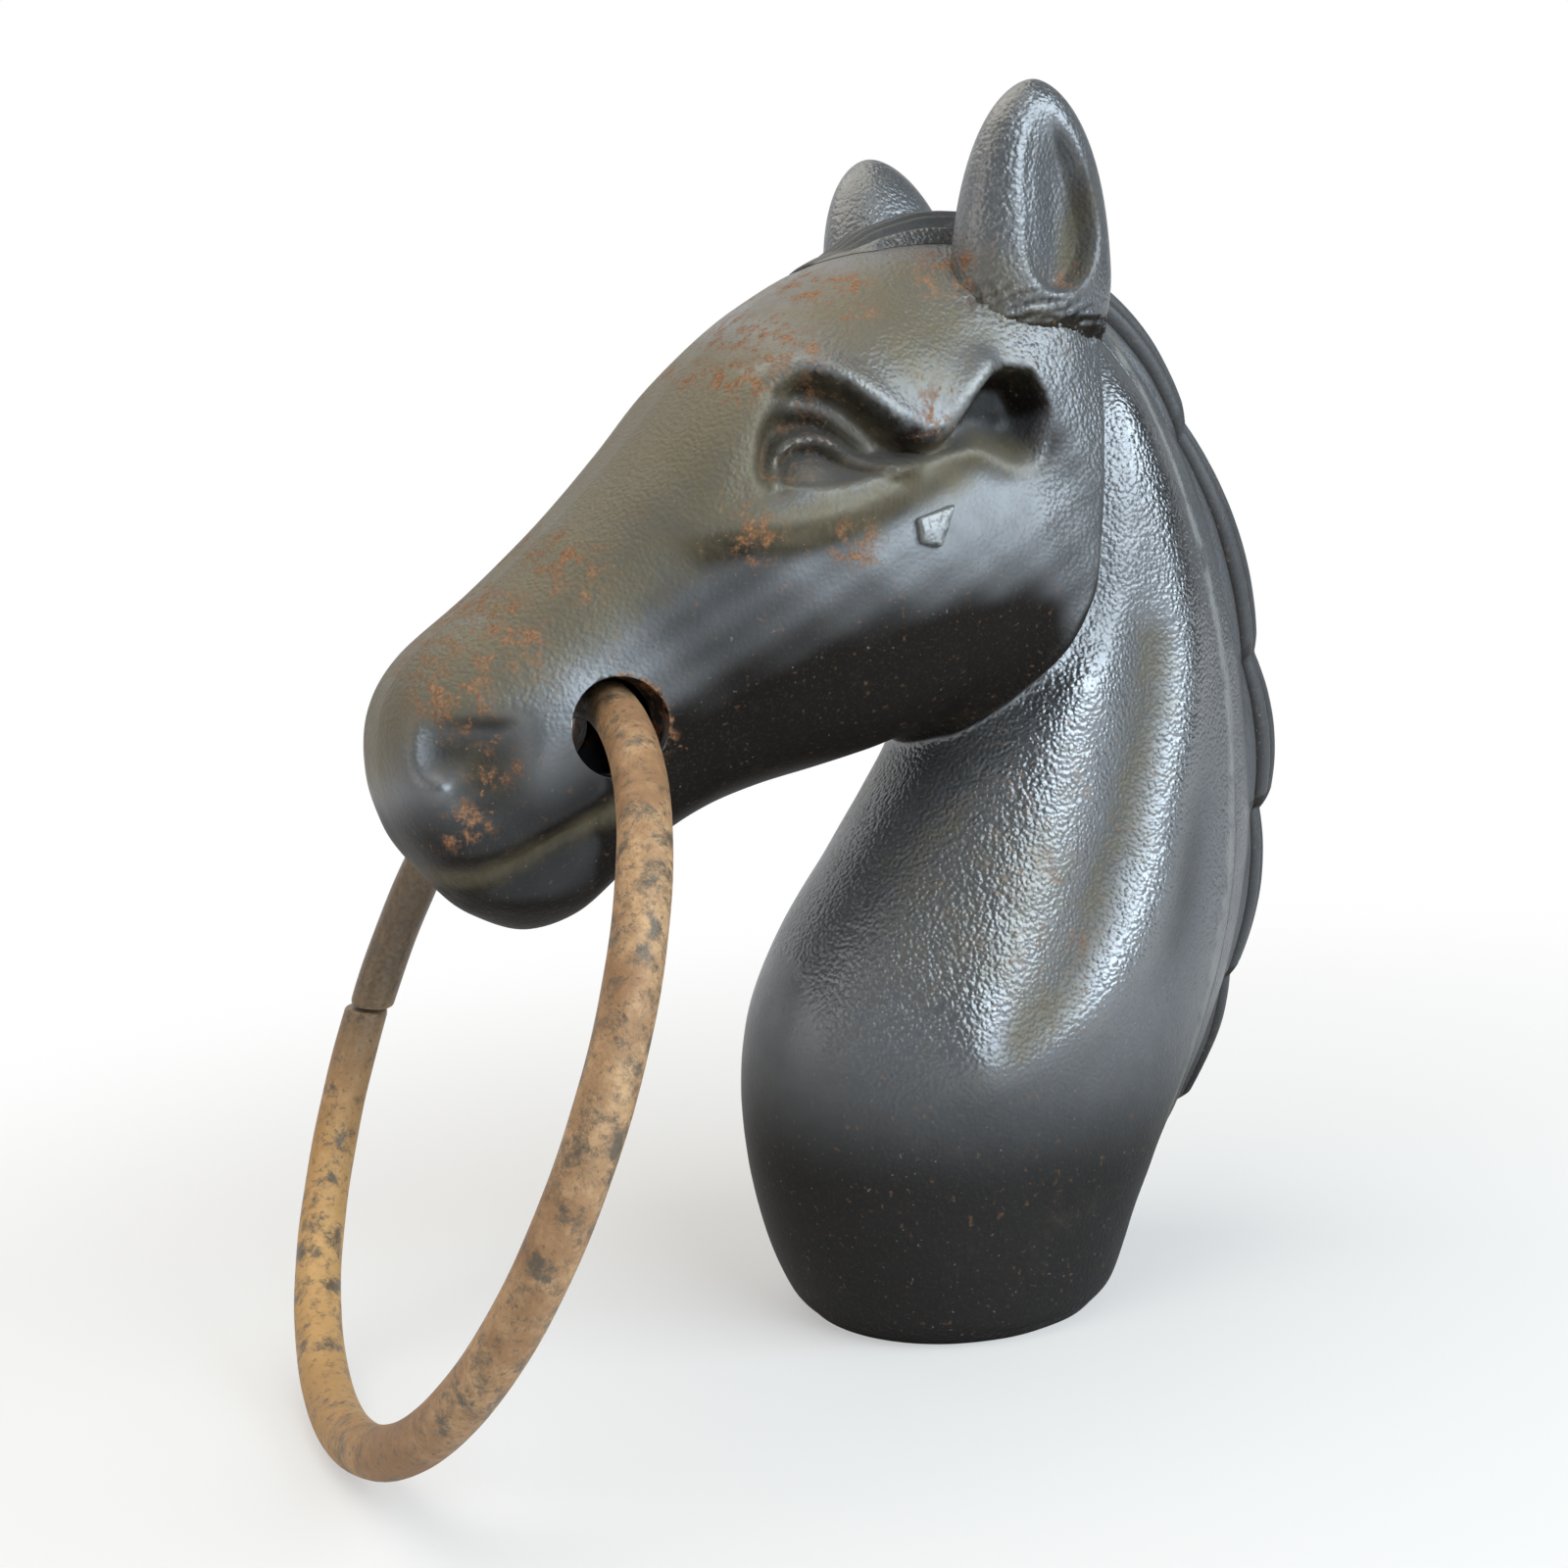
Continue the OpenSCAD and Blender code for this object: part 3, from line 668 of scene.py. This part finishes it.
def rust_places(x, z, socket):
    """Share of rust: a little everywhere, spots, throat, eye socket and the rear of the hole's rim."""
    spots = [0.95 * bump(x, z, cx, cz, r, r) for cx, cz, r in RUST_SPOTS]
    throat = 0.45 * bump(x, z, -12, 95, 30, 36)
    eye = 0.48 * soft_step(socket, 1, 5) * soft_step(x, 14, 30)
    rim = 0.95 * bell(np.hypot(x - HOLE_X, z - HOLE_Z), 9.2, 0.9) * (x < 74)
    return np.maximum.reduce([0.1 + 0 * x, *spots, throat, eye, rim])


def painted_sheen_by_place(x, z):
    """Share of painted sheen by place: painted highlights on the neck's muscles, and painted shade low down,
    in the neck's groove, on the face, in the ear's hollow and under the muzzle.
    """
    # Painted shade: darker towards the foot and over the middle of the cheek
    rising = (0.06 + 0.94 * soft_step(z - 0.1 * x, 30, 74)) * (1 - 0.2 * bump(x, z, 8, 152, 34, 24))
    # Painted highlights on the neck's muscles, painted shade in their groove and below the rear muscle
    muscles = np.maximum(ridge(x, z, FRONT_MUSCLE, 9), ridge(x, z, REAR_MUSCLE, 6))
    neck = 0.3 * muscles - 0.35 * ridge(x, z, NECK_GROOVE, 4.5) - 0.45 * bump(x, z, -46, 84, 7, 24, 20)
    # Painted shade on the face, in front of the eye and low on the cheek
    face = -0.3 * bump(x, z, 58, 160, 20, 12, -40) - 0.35 * bump(x, z, 24, 143, 34, 11, -14)
    # Painted shade on the rear of the ear's hollow
    ear = -0.55 * bump(x, z, -25, 216, 3.6, 15, 8) * (z > 199)
    # Painted shade low on the muzzle, about the mouth and chin
    chin = 1 - 0.85 * soft_step(x, 58, 75) * (1 - soft_step(z + 0.25 * (x - 98), 112, 124))
    return rising * (0.78 + neck + face + ear) * chin


def sheen_and_shade_places(mesh, x, y, z, socket):
    """Share of painted sheen: painted highlights on the lids; painted shade where faces point down, in the
    socket, by the upper lid, at the nose's tip, in the nostril, seam and hole.
    """
    normals = np.empty(len(x) * 3, np.float32)
    mesh.vertex_normals.foreach_get("vector", normals)
    face = sunk(x, z, HEAD_SIDE, CHEEK_SLOPE) * (z < 199)
    # Painted shade where faces point down, more so on the side of the head
    painted_sheen = painted_sheen_by_place(x, z) * soft_step((normals[2::3] + 0.75 - 0.53 * face) / (0.5 - 0.14 * face))
    # Painted shade in the eye socket, the channel behind it and the temple pit
    painted_sheen *= 1 - soft_step(socket, 0.6, 4) * np.interp(x, (-2, 6, 22, 38, 46), (0.6, 0.2, 0.1, 0.3, 0.85))
    # Painted shade in the creases above and below the upper lid
    painted_sheen *= 1 - 0.8 * np.maximum(ridge(x, z + 2, UPPER_LID, 1), ridge(x, z - 2.8, UPPER_LID, 1.1))
    # Painted highlights on the lids and the eyeball
    lids = np.maximum.reduce([
        ridge(x, z, UPPER_LID, 0.9),
        ridge(x, z, LID_FOLD, 1) * (x < 42),
        ridge(x, z, LOWER_LID, 0.7),
        bump(x, z, 36, 173.4, 2, 1.6),
    ])
    painted_sheen = np.maximum(painted_sheen, 0.9 * lids)
    # Painted shade low on the front of the muzzle
    painted_sheen *= 1 - 0.7 * soft_step(x, 98, 110) * (1 - soft_step(z, 112, 124))
    # Painted shade in the nostril, but not on its knob
    painted_sheen *= 1 - 0.95 * dish(x, z, 99.8, 124, 9, 8.6, 8) * (1 - bump(x, z, 105.4, 121.4, 4, 3.4))
    # Painted shade in the pits of the ear's torn seam
    painted_sheen *= 1 - 0.7 * ridge(x, z, EAR_SEAM, 3.4) * soft_step(-crackle(x, 0 * x, z), 0, 0.5)
    # Painted shade inside the muzzle hole
    hole = np.hypot(x - HOLE_X, z - HOLE_Z)
    return painted_sheen * soft_step(np.maximum(hole, np.abs(y) - 14.8), 9.3, 9.8)


def iron_fields(obj, grain=None, shine=1.0, bare_and_highlight=0.0):
    """Keeps numbers for each point of a piece, from its place, for the material of the casting to read."""
    mesh = obj.data
    x, y, z = points_of(mesh).T
    socket = eye_socket(x, z)
    fields = {
        "grain": coarse_skin(x, z) if grain is None else 0 * x + grain,
        "worn": worn_paint(x, z, socket),
        "rust": rust_places(x, z, socket),
        "line": ridge(x, z, ROOT_LINE, 1.2),
        # Painted sheen, whose lack is painted shade, scaled by shine
        "painted_sheen": shine * sheen_and_shade_places(mesh, x, y, z, socket),
        # Iron with no paint: the given share, plus a painted highlight along the brow's edge
        "bare_and_highlight": bare_and_highlight + 0.4 * ridge(x, z, BROW, 1.2) * (x < 44),
    }
    for name, values in fields.items():
        field = mesh.attributes.new(name, "FLOAT", "POINT")
        field.data.foreach_set("value", np.clip(values, 0, 1).astype(np.float32))


def maths(operation, swapped=False):
    """Operator of a wire that adds a Math node."""
    def act(self, other):
        values = (other, self) if swapped else (self, other)
        return self.shader.node("Math", {"operation": operation}, dict(enumerate(values)))

    return act


class Wire:
    """A socket in a node tree. Arithmetic on it adds Math nodes."""

    __add__, __radd__ = maths("ADD"), maths("ADD", True)
    __sub__, __rsub__ = maths("SUBTRACT"), maths("SUBTRACT", True)
    __mul__, __rmul__ = maths("MULTIPLY"), maths("MULTIPLY", True)
    at_least, at_most = maths("MAXIMUM"), maths("MINIMUM")

    def __init__(self, shader, socket):
        self.shader, self.socket = shader, socket

    def step(self, start, end):
        """S-curve from 0 at start to 1 at end."""
        return self.shader.node("MapRange", {"interpolation_type": "SMOOTHSTEP"},
                                {"Value": self, "From Min": start, "From Max": end})


class Shader:
    """Builds one node tree."""

    def __init__(self, tree):
        self.tree = tree
        tree.nodes.clear()

    def node(self, kind, settings=None, inputs=None, out=0):
        """Adds a node with its settings, then values or links in its sockets, and returns an output."""
        node = self.tree.nodes.new("ShaderNode" + kind)
        for key, value in (settings or {}).items():
            setattr(node, key, value)
        for key, value in (inputs or {}).items():
            if isinstance(value, Wire):
                self.tree.links.new(value.socket, node.inputs[key])
            else:
                node.inputs[key].default_value = value
        return Wire(self, node.outputs[out]) if node.outputs else node

    def place(self):
        """Object coordinates."""
        return self.node("TexCoord", out="Object")

    def part(self, place, axis):
        """One coordinate of a place."""
        return self.node("SeparateXYZ", None, {0: place}, axis)

    def rays(self):
        """1 on rays from the camera, and 1 on rays that gloss or glass has sent on."""
        camera, glossy, clear = (self.node("LightPath", out=name)
                                 for name in ("Is Camera Ray", "Is Glossy Ray", "Is Transmission Ray"))
        return camera, glossy + clear

    def noise(self, place, scale, detail, rough, out=0):
        """Cloudy noise with about scale lumps a metre."""
        return self.node("TexNoise", None,
                         {"Vector": place, "Scale": scale, "Detail": detail, "Roughness": rough}, out)

    def grains(self, place, scale):
        """Rounded grains: one less the soft distance to the nearest of scattered points."""
        return 1 - self.node("TexVoronoi", {"feature": "SMOOTH_F1"},
                             {"Vector": place, "Scale": scale, "Smoothness": 0.8}, "Distance")

    def field(self, name):
        """A number kept on the mesh."""
        return self.node("Attribute", {"attribute_name": name}, out="Fac")

    def blend(self, share, a, b):
        """Colour a where share is 0, and b where it is 1."""
        rgb = [value if isinstance(value, Wire) else (*value, 1) for value in (a, b)]
        return self.node("Mix", {"data_type": "RGBA"}, {0: share, 6: rgb[0], 7: rgb[1]}, 2)

    def stretch(self, place, scale, turn):
        """Place turned and stretched."""
        return self.node("Mapping", None, {"Vector": place, "Rotation": turn, "Scale": scale})

    def relief(self, height, distance, strength):
        """Bump from a height of 0 to 1, that many metres high."""
        return self.node("Bump", None, {"Height": height, "Distance": distance, "Strength": strength})

    def surface(self, inputs):
        """Principled surface to the output."""
        body = self.node("BsdfPrincipled", None, inputs)
        self.node("OutputMaterial", None, {"Surface": body})


def new_shader(name):
    """Builder of the empty node tree of a new material."""
    material = bpy.data.materials.new(name)
    material.use_nodes = True
    return Shader(material.node_tree)


def painted_iron(colours):
    """Worn satin black paint over sand-cast iron: pebbled skin, olive wear, rust freckles, pale dust, and
    painted sheen and shade.
    """
    sh = new_shader("painted_iron")
    place = sh.place()
    grain, rusty, thin = sh.field("grain"), sh.field("rust"), sh.field("worn")
    slow = sh.noise(place, 45, 4, 0.6)
    middle = sh.noise(place, 190, 4, 0.62)
    bent = sh.node("VectorMath", {"operation": "MULTIPLY_ADD"},
                   {0: sh.noise(place, 700, 2, 0.5, "Color"), 1: (0.0006,) * 3, 2: place})
    pebble = sh.grains(bent, 1200)
    fine = sh.noise(place, 1700, 2, 0.5)
    wiped = sh.noise(sh.stretch(place, (1, 1, 0.1), (0, math.radians(-52), 0)), 1100, 2, 0.5)
    wear = (slow * 0.5 + middle * 0.4 + thin * 0.6 - 0.1).step(0.42, 0.95)
    wear = (wear * (0.7 + wiped * 0.6)).at_most(1)
    # Share of painted sheen: iron colour that gives painted highlights, and black paint where it is low, for
    # painted shade
    gloss = sh.field("painted_sheen") * (0.8 + middle * 0.4) * (1 - wear * 0.4)
    paint = sh.blend(gloss.at_most(1), sh.blend(wear, colours.paint, colours.worn),
                     sh.blend(wear, colours.sheen, colours.worn_sheen))
    paint = sh.blend(fine.step(0.52, 0.72) * 0.12, paint, colours.worn)
    patch = sh.noise(place, 110, 5, 0.7)
    speck = sh.noise(place, 330, 4, 0.66)
    rust = (rusty * 0.45 + patch * 0.62).step(0.47, 0.7) * speck.step(0.45, 0.62)
    dots = sh.noise(place, 760, 1, 0.4).step(0.68, 0.75) * (rusty * 1.3 + 0.12).at_most(1)
    rust = rust.at_least(dots)
    paint = sh.blend(rust * 0.85, paint, sh.blend(fine.step(0.35, 0.7), colours.rust, colours.bright_rust))
    # Unpainted iron on the chaplets, and a painted highlight along the brow's edge
    bare_and_highlight = sh.field("bare_and_highlight") * middle.step(0.3, 0.6) * (1 - rust)
    paint = sh.blend(bare_and_highlight, paint, colours.bare_and_highlight)
    dust = sh.noise(sh.stretch(place, (1, 1, 1), (0.3, 0.2, 0)), 1250, 1, 0.3).step(0.75, 0.8)
    dust = dust.at_least(sh.field("line") * middle.step(0.3, 0.55) * 1.4).at_most(1)
    paint = sh.blend(dust * 0.45, paint, colours.dust)
    height = (pebble * 0.8 + fine * 0.15) * (grain * 0.92 + 0.08)
    height = height + wiped * 0.04 + middle * grain * 0.1 + rust * 0.06
    normal = sh.relief(height, 0.00036, 1.0)
    rough = 0.5 - gloss * (0.17 + grain * 0.05) + wear * 0.08 + slow * 0.06 + rust * 0.25 + dust * 0.2
    metal = (gloss * 0.97).at_least(bare_and_highlight * 0.6) * (1 - rust) * (1 - dust)
    sh.surface({"Base Color": paint, "Roughness": rough, "Metallic": metal.at_most(1), "Normal": normal,
                "Specular IOR Level": 0.1})


def rusty_bar(colours):
    """Bar steel gone tan and brown with rust, with dark worn patches along it, a painted highlight low on
    its far side and painted shade high on its far side.
    """
    sh = new_shader("rusty_bar")
    place = sh.place()
    slow = sh.noise(place, 38, 3, 0.6)
    middle = sh.noise(place, 230, 4, 0.65)
    fine = sh.noise(place, 1000, 3, 0.6)
    tone = sh.blend((slow * 0.7 + middle * 0.4).step(0.42, 0.7), colours.brown, colours.tan)
    tone = sh.blend(fine.step(0.42, 0.68) * 0.55, tone, colours.brown)
    dark = (slow * 0.3 + sh.noise(place, 210, 5, 0.72) * 0.8).step(0.53, 0.68)
    flecks = sh.noise(place, 620, 4, 0.65).step(0.55, 0.67)
    dark = dark.at_least(flecks * 0.7)
    far, up = 0 - sh.part(place, "Y"), sh.part(place, "Z")
    # Painted highlight low on the ring's far side, in a gold rust colour
    tone = sh.blend((1 - up.step(0.02, 0.075)) * far.step(-0.05, 0.03) * 0.7, tone, colours.golden_highlight)
    # Painted shade high on the ring's far side, with darker rust
    far_top_shade = far.step(-0.01, 0.03) * up.step(0.045, 0.075) * (0.3 + middle * 0.6 + fine * 0.6)
    dark = dark.at_least(far_top_shade).at_most(1)
    tone = sh.blend(dark * 0.9, tone, colours.dark)
    normal = sh.relief(fine * 0.6 + middle * 0.4 - dark * 0.3, 0.0005, 0.7)
    sh.surface({"Base Color": tone, "Roughness": 0.6 - dark * 0.2, "Metallic": 0.1, "Normal": normal})


def colour(name, description, value):
    """Property that holds a colour."""
    return bpy.props.FloatVectorProperty(name=name, description=description, subtype="COLOR", default=value)


def millimetres(name, description, value, low, high):
    """Property that holds a length in millimetres."""
    return bpy.props.FloatProperty(name=name, description=description + ", in millimetres", default=value,
                                   min=low, max=high)


class IronColours(bpy.types.PropertyGroup):
    """Colours of the painted casting."""

    paint: colour("Paint", "Black paint where it is whole", (0.0085, 0.0062, 0.0052))
    worn: colour("Worn paint", "Olive brown where the paint is thin", (0.1, 0.085, 0.055))
    rust: colour("Rust", "Dark rust in freckles", (0.17, 0.085, 0.045))
    bright_rust: colour("Bright rust", "Orange rust in freckles", (0.34, 0.175, 0.088))
    # Colour of the painted sheen, which gives painted highlights
    sheen: colour("Painted sheen", "Dark iron colour of the painted sheen and its highlights",
                  (0.26, 0.271, 0.287))
    # Colour of the painted sheen where the paint is thin
    worn_sheen: colour("Painted sheen on wear", "Olive colour of the painted sheen where the paint is thin", (0.235, 0.212, 0.162))
    # Colour of unpainted iron, and of the painted highlight along the brow's edge
    bare_and_highlight: colour("Bare iron and brow highlight", "Iron with no paint, and the painted highlight along the brow's edge", (0.34, 0.35, 0.35))
    dust: colour("Dust", "Pale specks of dust", (0.22, 0.21, 0.18))


class RingColours(bpy.types.PropertyGroup):
    """Colours of the rusty ring."""

    tan: colour("Tan", "Dry rust worn by handling", (0.52, 0.33, 0.175))
    # Colour of the painted highlight low on the ring's far side
    golden_highlight: colour("Golden", "Rust colour of the painted highlight low on the far side", (0.58, 0.34, 0.12))
    brown: colour("Brown", "Darker rust", (0.28, 0.15, 0.07))
    # Also the colour of the painted shade high on the ring's far side
    dark: colour("Dark", "Bare dark steel, and the painted shade high on the far side", (0.085, 0.07, 0.052))


class PostSizes(bpy.types.PropertyGroup):
    """Sizes that the looks share with the CAD."""

    hole_radius: millimetres("Muzzle hole radius", "Radius of the cross hole", 9.0, 8.5, 10)
    socket_radius: millimetres("Socket radius", "Radius of the post socket", 24.65, 21, 25)
    socket_depth: millimetres("Socket depth", "Depth of the post socket", 55, 45, 60)
    bar: millimetres("Ring bar", "Diameter of the ring's bar", 9.5, 8, 10.5)
    ring_outside: millimetres("Ring diameter", "Outside diameter of the ring", 152.4, 148, 156)
    ring_gap: millimetres("Ring gap", "Butt gap between the bar's ends", 1.0, 0.6, 3)


def ring_place(sizes):
    """Radius, lean and middle of the ring, which hangs from the muzzle and rests on the foot's plane."""
    radius = (sizes.ring_outside - sizes.bar) / 2
    arm = math.sqrt(radius**2 - PIVOT_Y**2)
    lean = math.acos(min(1, (PIVOT_Z - sizes.bar / 2) / (arm + radius)))
    return radius, lean, (PIVOT_X + arm * math.sin(lean), 0, PIVOT_Z - arm * math.cos(lean))


class HITCH_OT_head(bpy.types.Operator):
    """Neck and head casting with its hollow, its post socket and the muzzle hole"""

    bl_idname = "hitch.head"
    bl_label = "Head casting"

    def execute(self, context):
        sizes = context.scene.hitch_sizes
        loops = head_loops()
        obj = new_object("head", loops, MUZZLE_TIP)
        lean = ring_place(sizes)[1]
        drop = sizes.hole_radius - sizes.bar / 2 - BAR_CLEARANCE
        centre = (PIVOT_X + drop * math.sin(lean), PIVOT_Z - drop * math.cos(lean))
        carve(obj, core_loops())
        carve(obj, bore_loops(sizes.socket_radius, -5, sizes.socket_depth))
        carve(obj, hole_loops(loops.reshape(-1, 3), centre, sizes.hole_radius))
        iron_fields(obj)
        dress(obj, "head_casting")
        return {"FINISHED"}


class HITCH_OT_mane(bpy.types.Operator):
    """Mane strip with its overlapping locks and the forelock"""

    bl_idname = "hitch.mane"
    bl_label = "Mane"

    def execute(self, context):
        loops, groove = mane_loops()
        obj = new_object("mane_locks", loops)
        strip = np.append(soft_step(np.abs(np.linspace(-1, 1, loops.shape[1] - 2)), 0.66, 0.8), (1, 1))
        strip = np.append(np.tile(strip, len(loops)), (0, 0))
        groove = np.append(np.pad(groove, ((0, 0), (0, 2))), (0, 0))
        # Painted shade in the hair's grooves, and more painted sheen on the strip than on the locks
        iron_fields(obj, 0.35 + 0.6 * strip, (0.42 + 0.5 * strip) * (1 - 0.9 * groove))
        dress(obj, "mane")
        return {"FINISHED"}


class HITCH_OT_ears(bpy.types.Operator):
    """Both ears, with the hollow of the shell"""

    bl_idname = "hitch.ears"
    bl_label = "Ears"

    def execute(self, context):
        loops, tip = ear_loops()
        seat = head_loops()
        for name, side in SIDES.items():
            flip = np.array([1, side, 1])
            obj = new_object("shell_ear_" + name, loops * flip, tip * flip)
            carve(obj, seat, MUZZLE_TIP)
            iron_fields(obj, 0.7)
            dress(obj, "ear_" + name)
        return {"FINISHED"}


class HITCH_OT_ring(bpy.types.Operator):
    """Tether ring bent from round bar"""

    bl_idname = "hitch.ring"
    bl_label = "Tether ring"

    def execute(self, context):
        sizes = context.scene.hitch_sizes
        radius, lean, centre = ring_place(sizes)
        loops = ring_loops(radius, sizes.bar, centre, lean, sizes.ring_gap, RING_GAP_TURN)
        obj = new_object("tether_ring", loops)
        dress(obj, "ring", "rusty_bar", RING_BODY, 40)
        return {"FINISHED"}


class HITCH_OT_chaplets(bpy.types.Operator):
    """Core supports whose kite-shaped plates show on the cheeks"""

    bl_idname = "hitch.chaplets"
    bl_label = "Cheek chaplets"

    def execute(self, context):
        for name, side in SIDES.items():
            obj = new_object("cheek_stud_" + name, chaplet_loops(side))
            iron_fields(obj, 0.6, bare_and_highlight=0.6)
            dress(obj, "chaplet_" + name)
        return {"FINISHED"}


class HITCH_OT_finishes(bpy.types.Operator):
    """Paint of the casting and rust of the ring"""

    bl_idname = "hitch.finishes"
    bl_label = "Finishes"

    def execute(self, context):
        painted_iron(context.scene.hitch_iron)
        rusty_bar(context.scene.hitch_ring)
        return {"FINISHED"}


class HITCH_OT_stage(bpy.types.Operator):
    """Pale floor, soft light and the camera"""

    bl_idname = "hitch.stage"
    bl_label = "Stage"

    def execute(self, context):
        scene = context.scene
        scene.view_settings.view_transform = "Standard"
        self.floor()
        self.sky(scene)
        self.lamps()
        self.camera(scene)
        return {"FINISHED"}

    def floor(self):
        """Round pale floor that turns to plain white away from the object."""
        floor = new_object("floor", bore_loops(6000, -1.2, -0.05, 128))
        sh = new_shader("pale_floor")
        place = sh.place()
        away = sh.node("VectorMath", {"operation": "LENGTH"}, {0: place}, "Value").step(0.05, 0.45)
        behind = 1 - sh.part(place, "Y").step(-0.12, 0.05)
        white = sh.node("Emission", None, {"Color": (1, 1, 1, 1), "Strength": 1.0})
        pale = sh.node("BsdfDiffuse", None, {"Color": (0.8, 0.8, 0.8, 1)})
        camera, sent_on = sh.rays()
        shown = (camera + sent_on * behind).at_most(1)
        mixed = sh.node("MixShader", None, {0: (away * 0.6 + 0.4) * shown, 1: pale, 2: white})
        sh.node("OutputMaterial", None, {"Surface": mixed})
        floor.data.materials.append(bpy.data.materials["pale_floor"])

    def sky(self, scene):
        """White backdrop to the camera. Gloss shows it behind the object, and a dim room elsewhere."""
        world = bpy.data.worlds.new("studio")
        scene.world = world
        world.use_nodes = True
        sh = Shader(world.node_tree)
        way = sh.node("TexCoord", out="Generated")
        dome = sh.blend(sh.part(way, "Z").step(-0.1, 0.9), (0.1, 0.1, 0.103), (0.22, 0.225, 0.235))
        backdrop = (0 - sh.part(way, "Y")).step(0.2, 0.7)
        camera, sent_on = sh.rays()
        dome = sh.blend(sent_on, dome, (0.04, 0.04, 0.042))
        shown = sh.blend((camera + sent_on * backdrop).at_most(1), dome, (1, 1, 1))
        back = sh.node("Background", None, {"Color": shown, "Strength": 1.0})
        sh.node("OutputWorld", None, {"Surface": back})

    def lamps(self):
        """Soft boxes: a cool one like a window on the near side, a warm one overhead and a weak one."""
        for name, place, aim, wide, high, power, colour in (
            ("window_box", (-0.41, 0.93, 0.62), (-0.01, 0, 0.13), 1.25, 0.9, 18, (0.82, 0.93, 1.0)),
            ("over_box", (0.2, -0.1, 0.95), (0.02, 0, 0.15), 0.9, 0.9, 5, (1.0, 0.93, 0.79)),
            ("front_box", (0.9, 0.12, 0.42), (0.02, 0, 0.14), 0.5, 0.5, 1.6, (1.0, 0.96, 0.88)),
        ):
            light = bpy.data.lights.new(name, "AREA")
            light.shape, light.size, light.size_y = "RECTANGLE", wide, high
            light.energy, light.color = power, colour
            lamp = bpy.data.objects.new(name, light)
            bpy.context.scene.collection.objects.link(lamp)
            way = np.array(aim) - np.array(place)
            lamp.location = place
            lamp.rotation_euler = Vector(way).to_track_quat("-Z", "Y").to_euler()

    def camera(self, scene):
        """Camera at the photograph's place, with its focal length and picture width in pixels."""
        place = np.array([188.35, 337.3, 154.4]) * MM
        yaw, pitch, roll = (math.radians(angle) for angle in (64.91, 6.47, -4.57))
        focal, picture, sensor = 1900, 1600, 36
        level = np.array([math.cos(yaw), math.sin(yaw), 0])
        ahead = -math.cos(pitch) * level - math.sin(pitch) * np.array([0, 0, 1])
        right = np.cross(ahead, (0, 0, 1))
        right /= np.linalg.norm(right)
        up = np.cross(right, ahead)
        c, s = math.cos(roll), math.sin(roll)
        right, up = right * c + up * s, up * c - right * s
        data = bpy.data.cameras.new("camera")
        data.sensor_width = sensor
        data.lens = sensor * focal / picture
        data.clip_start = 0.01
        camera = bpy.data.objects.new("camera", data)
        scene.collection.objects.link(camera)
        pose = np.eye(4)
        pose[:3] = np.stack([right, up, -ahead, place], 1)
        camera.matrix_world = Matrix(pose.tolist())
        scene.camera = camera


class HITCH_PT_panel(bpy.types.Panel):
    """Pieces, sizes and colours of the hitching post head"""

    bl_idname = "HITCH_PT_panel"
    bl_label = "Hitching post head"
    bl_space_type = "VIEW_3D"
    bl_region_type = "UI"
    bl_category = "Hitching post"

    def draw(self, context):
        for operator in OPERATORS:
            self.layout.operator(operator.bl_idname)
        for name in GROUPS:
            group = getattr(context.scene, name)
            for key in group.__annotations__:
                self.layout.prop(group, key)


GROUPS = {"hitch_sizes": PostSizes, "hitch_iron": IronColours, "hitch_ring": RingColours}
OPERATORS = (HITCH_OT_finishes, HITCH_OT_head, HITCH_OT_mane, HITCH_OT_ears, HITCH_OT_ring,
             HITCH_OT_chaplets, HITCH_OT_stage)


def register():
    for cls in (*GROUPS.values(), *OPERATORS, HITCH_PT_panel):
        bpy.utils.register_class(cls)
    for name, group in GROUPS.items():
        setattr(bpy.types.Scene, name, bpy.props.PointerProperty(type=group))


def unregister():
    for name in GROUPS:
        delattr(bpy.types.Scene, name)
    for cls in (HITCH_PT_panel, *reversed(OPERATORS), *reversed(list(GROUPS.values()))):
        bpy.utils.unregister_class(cls)


def main():
    register()
    for operator in OPERATORS:
        getattr(bpy.ops.hitch, operator.bl_idname.split(".")[1])()


if __name__ == "__main__":
    main()
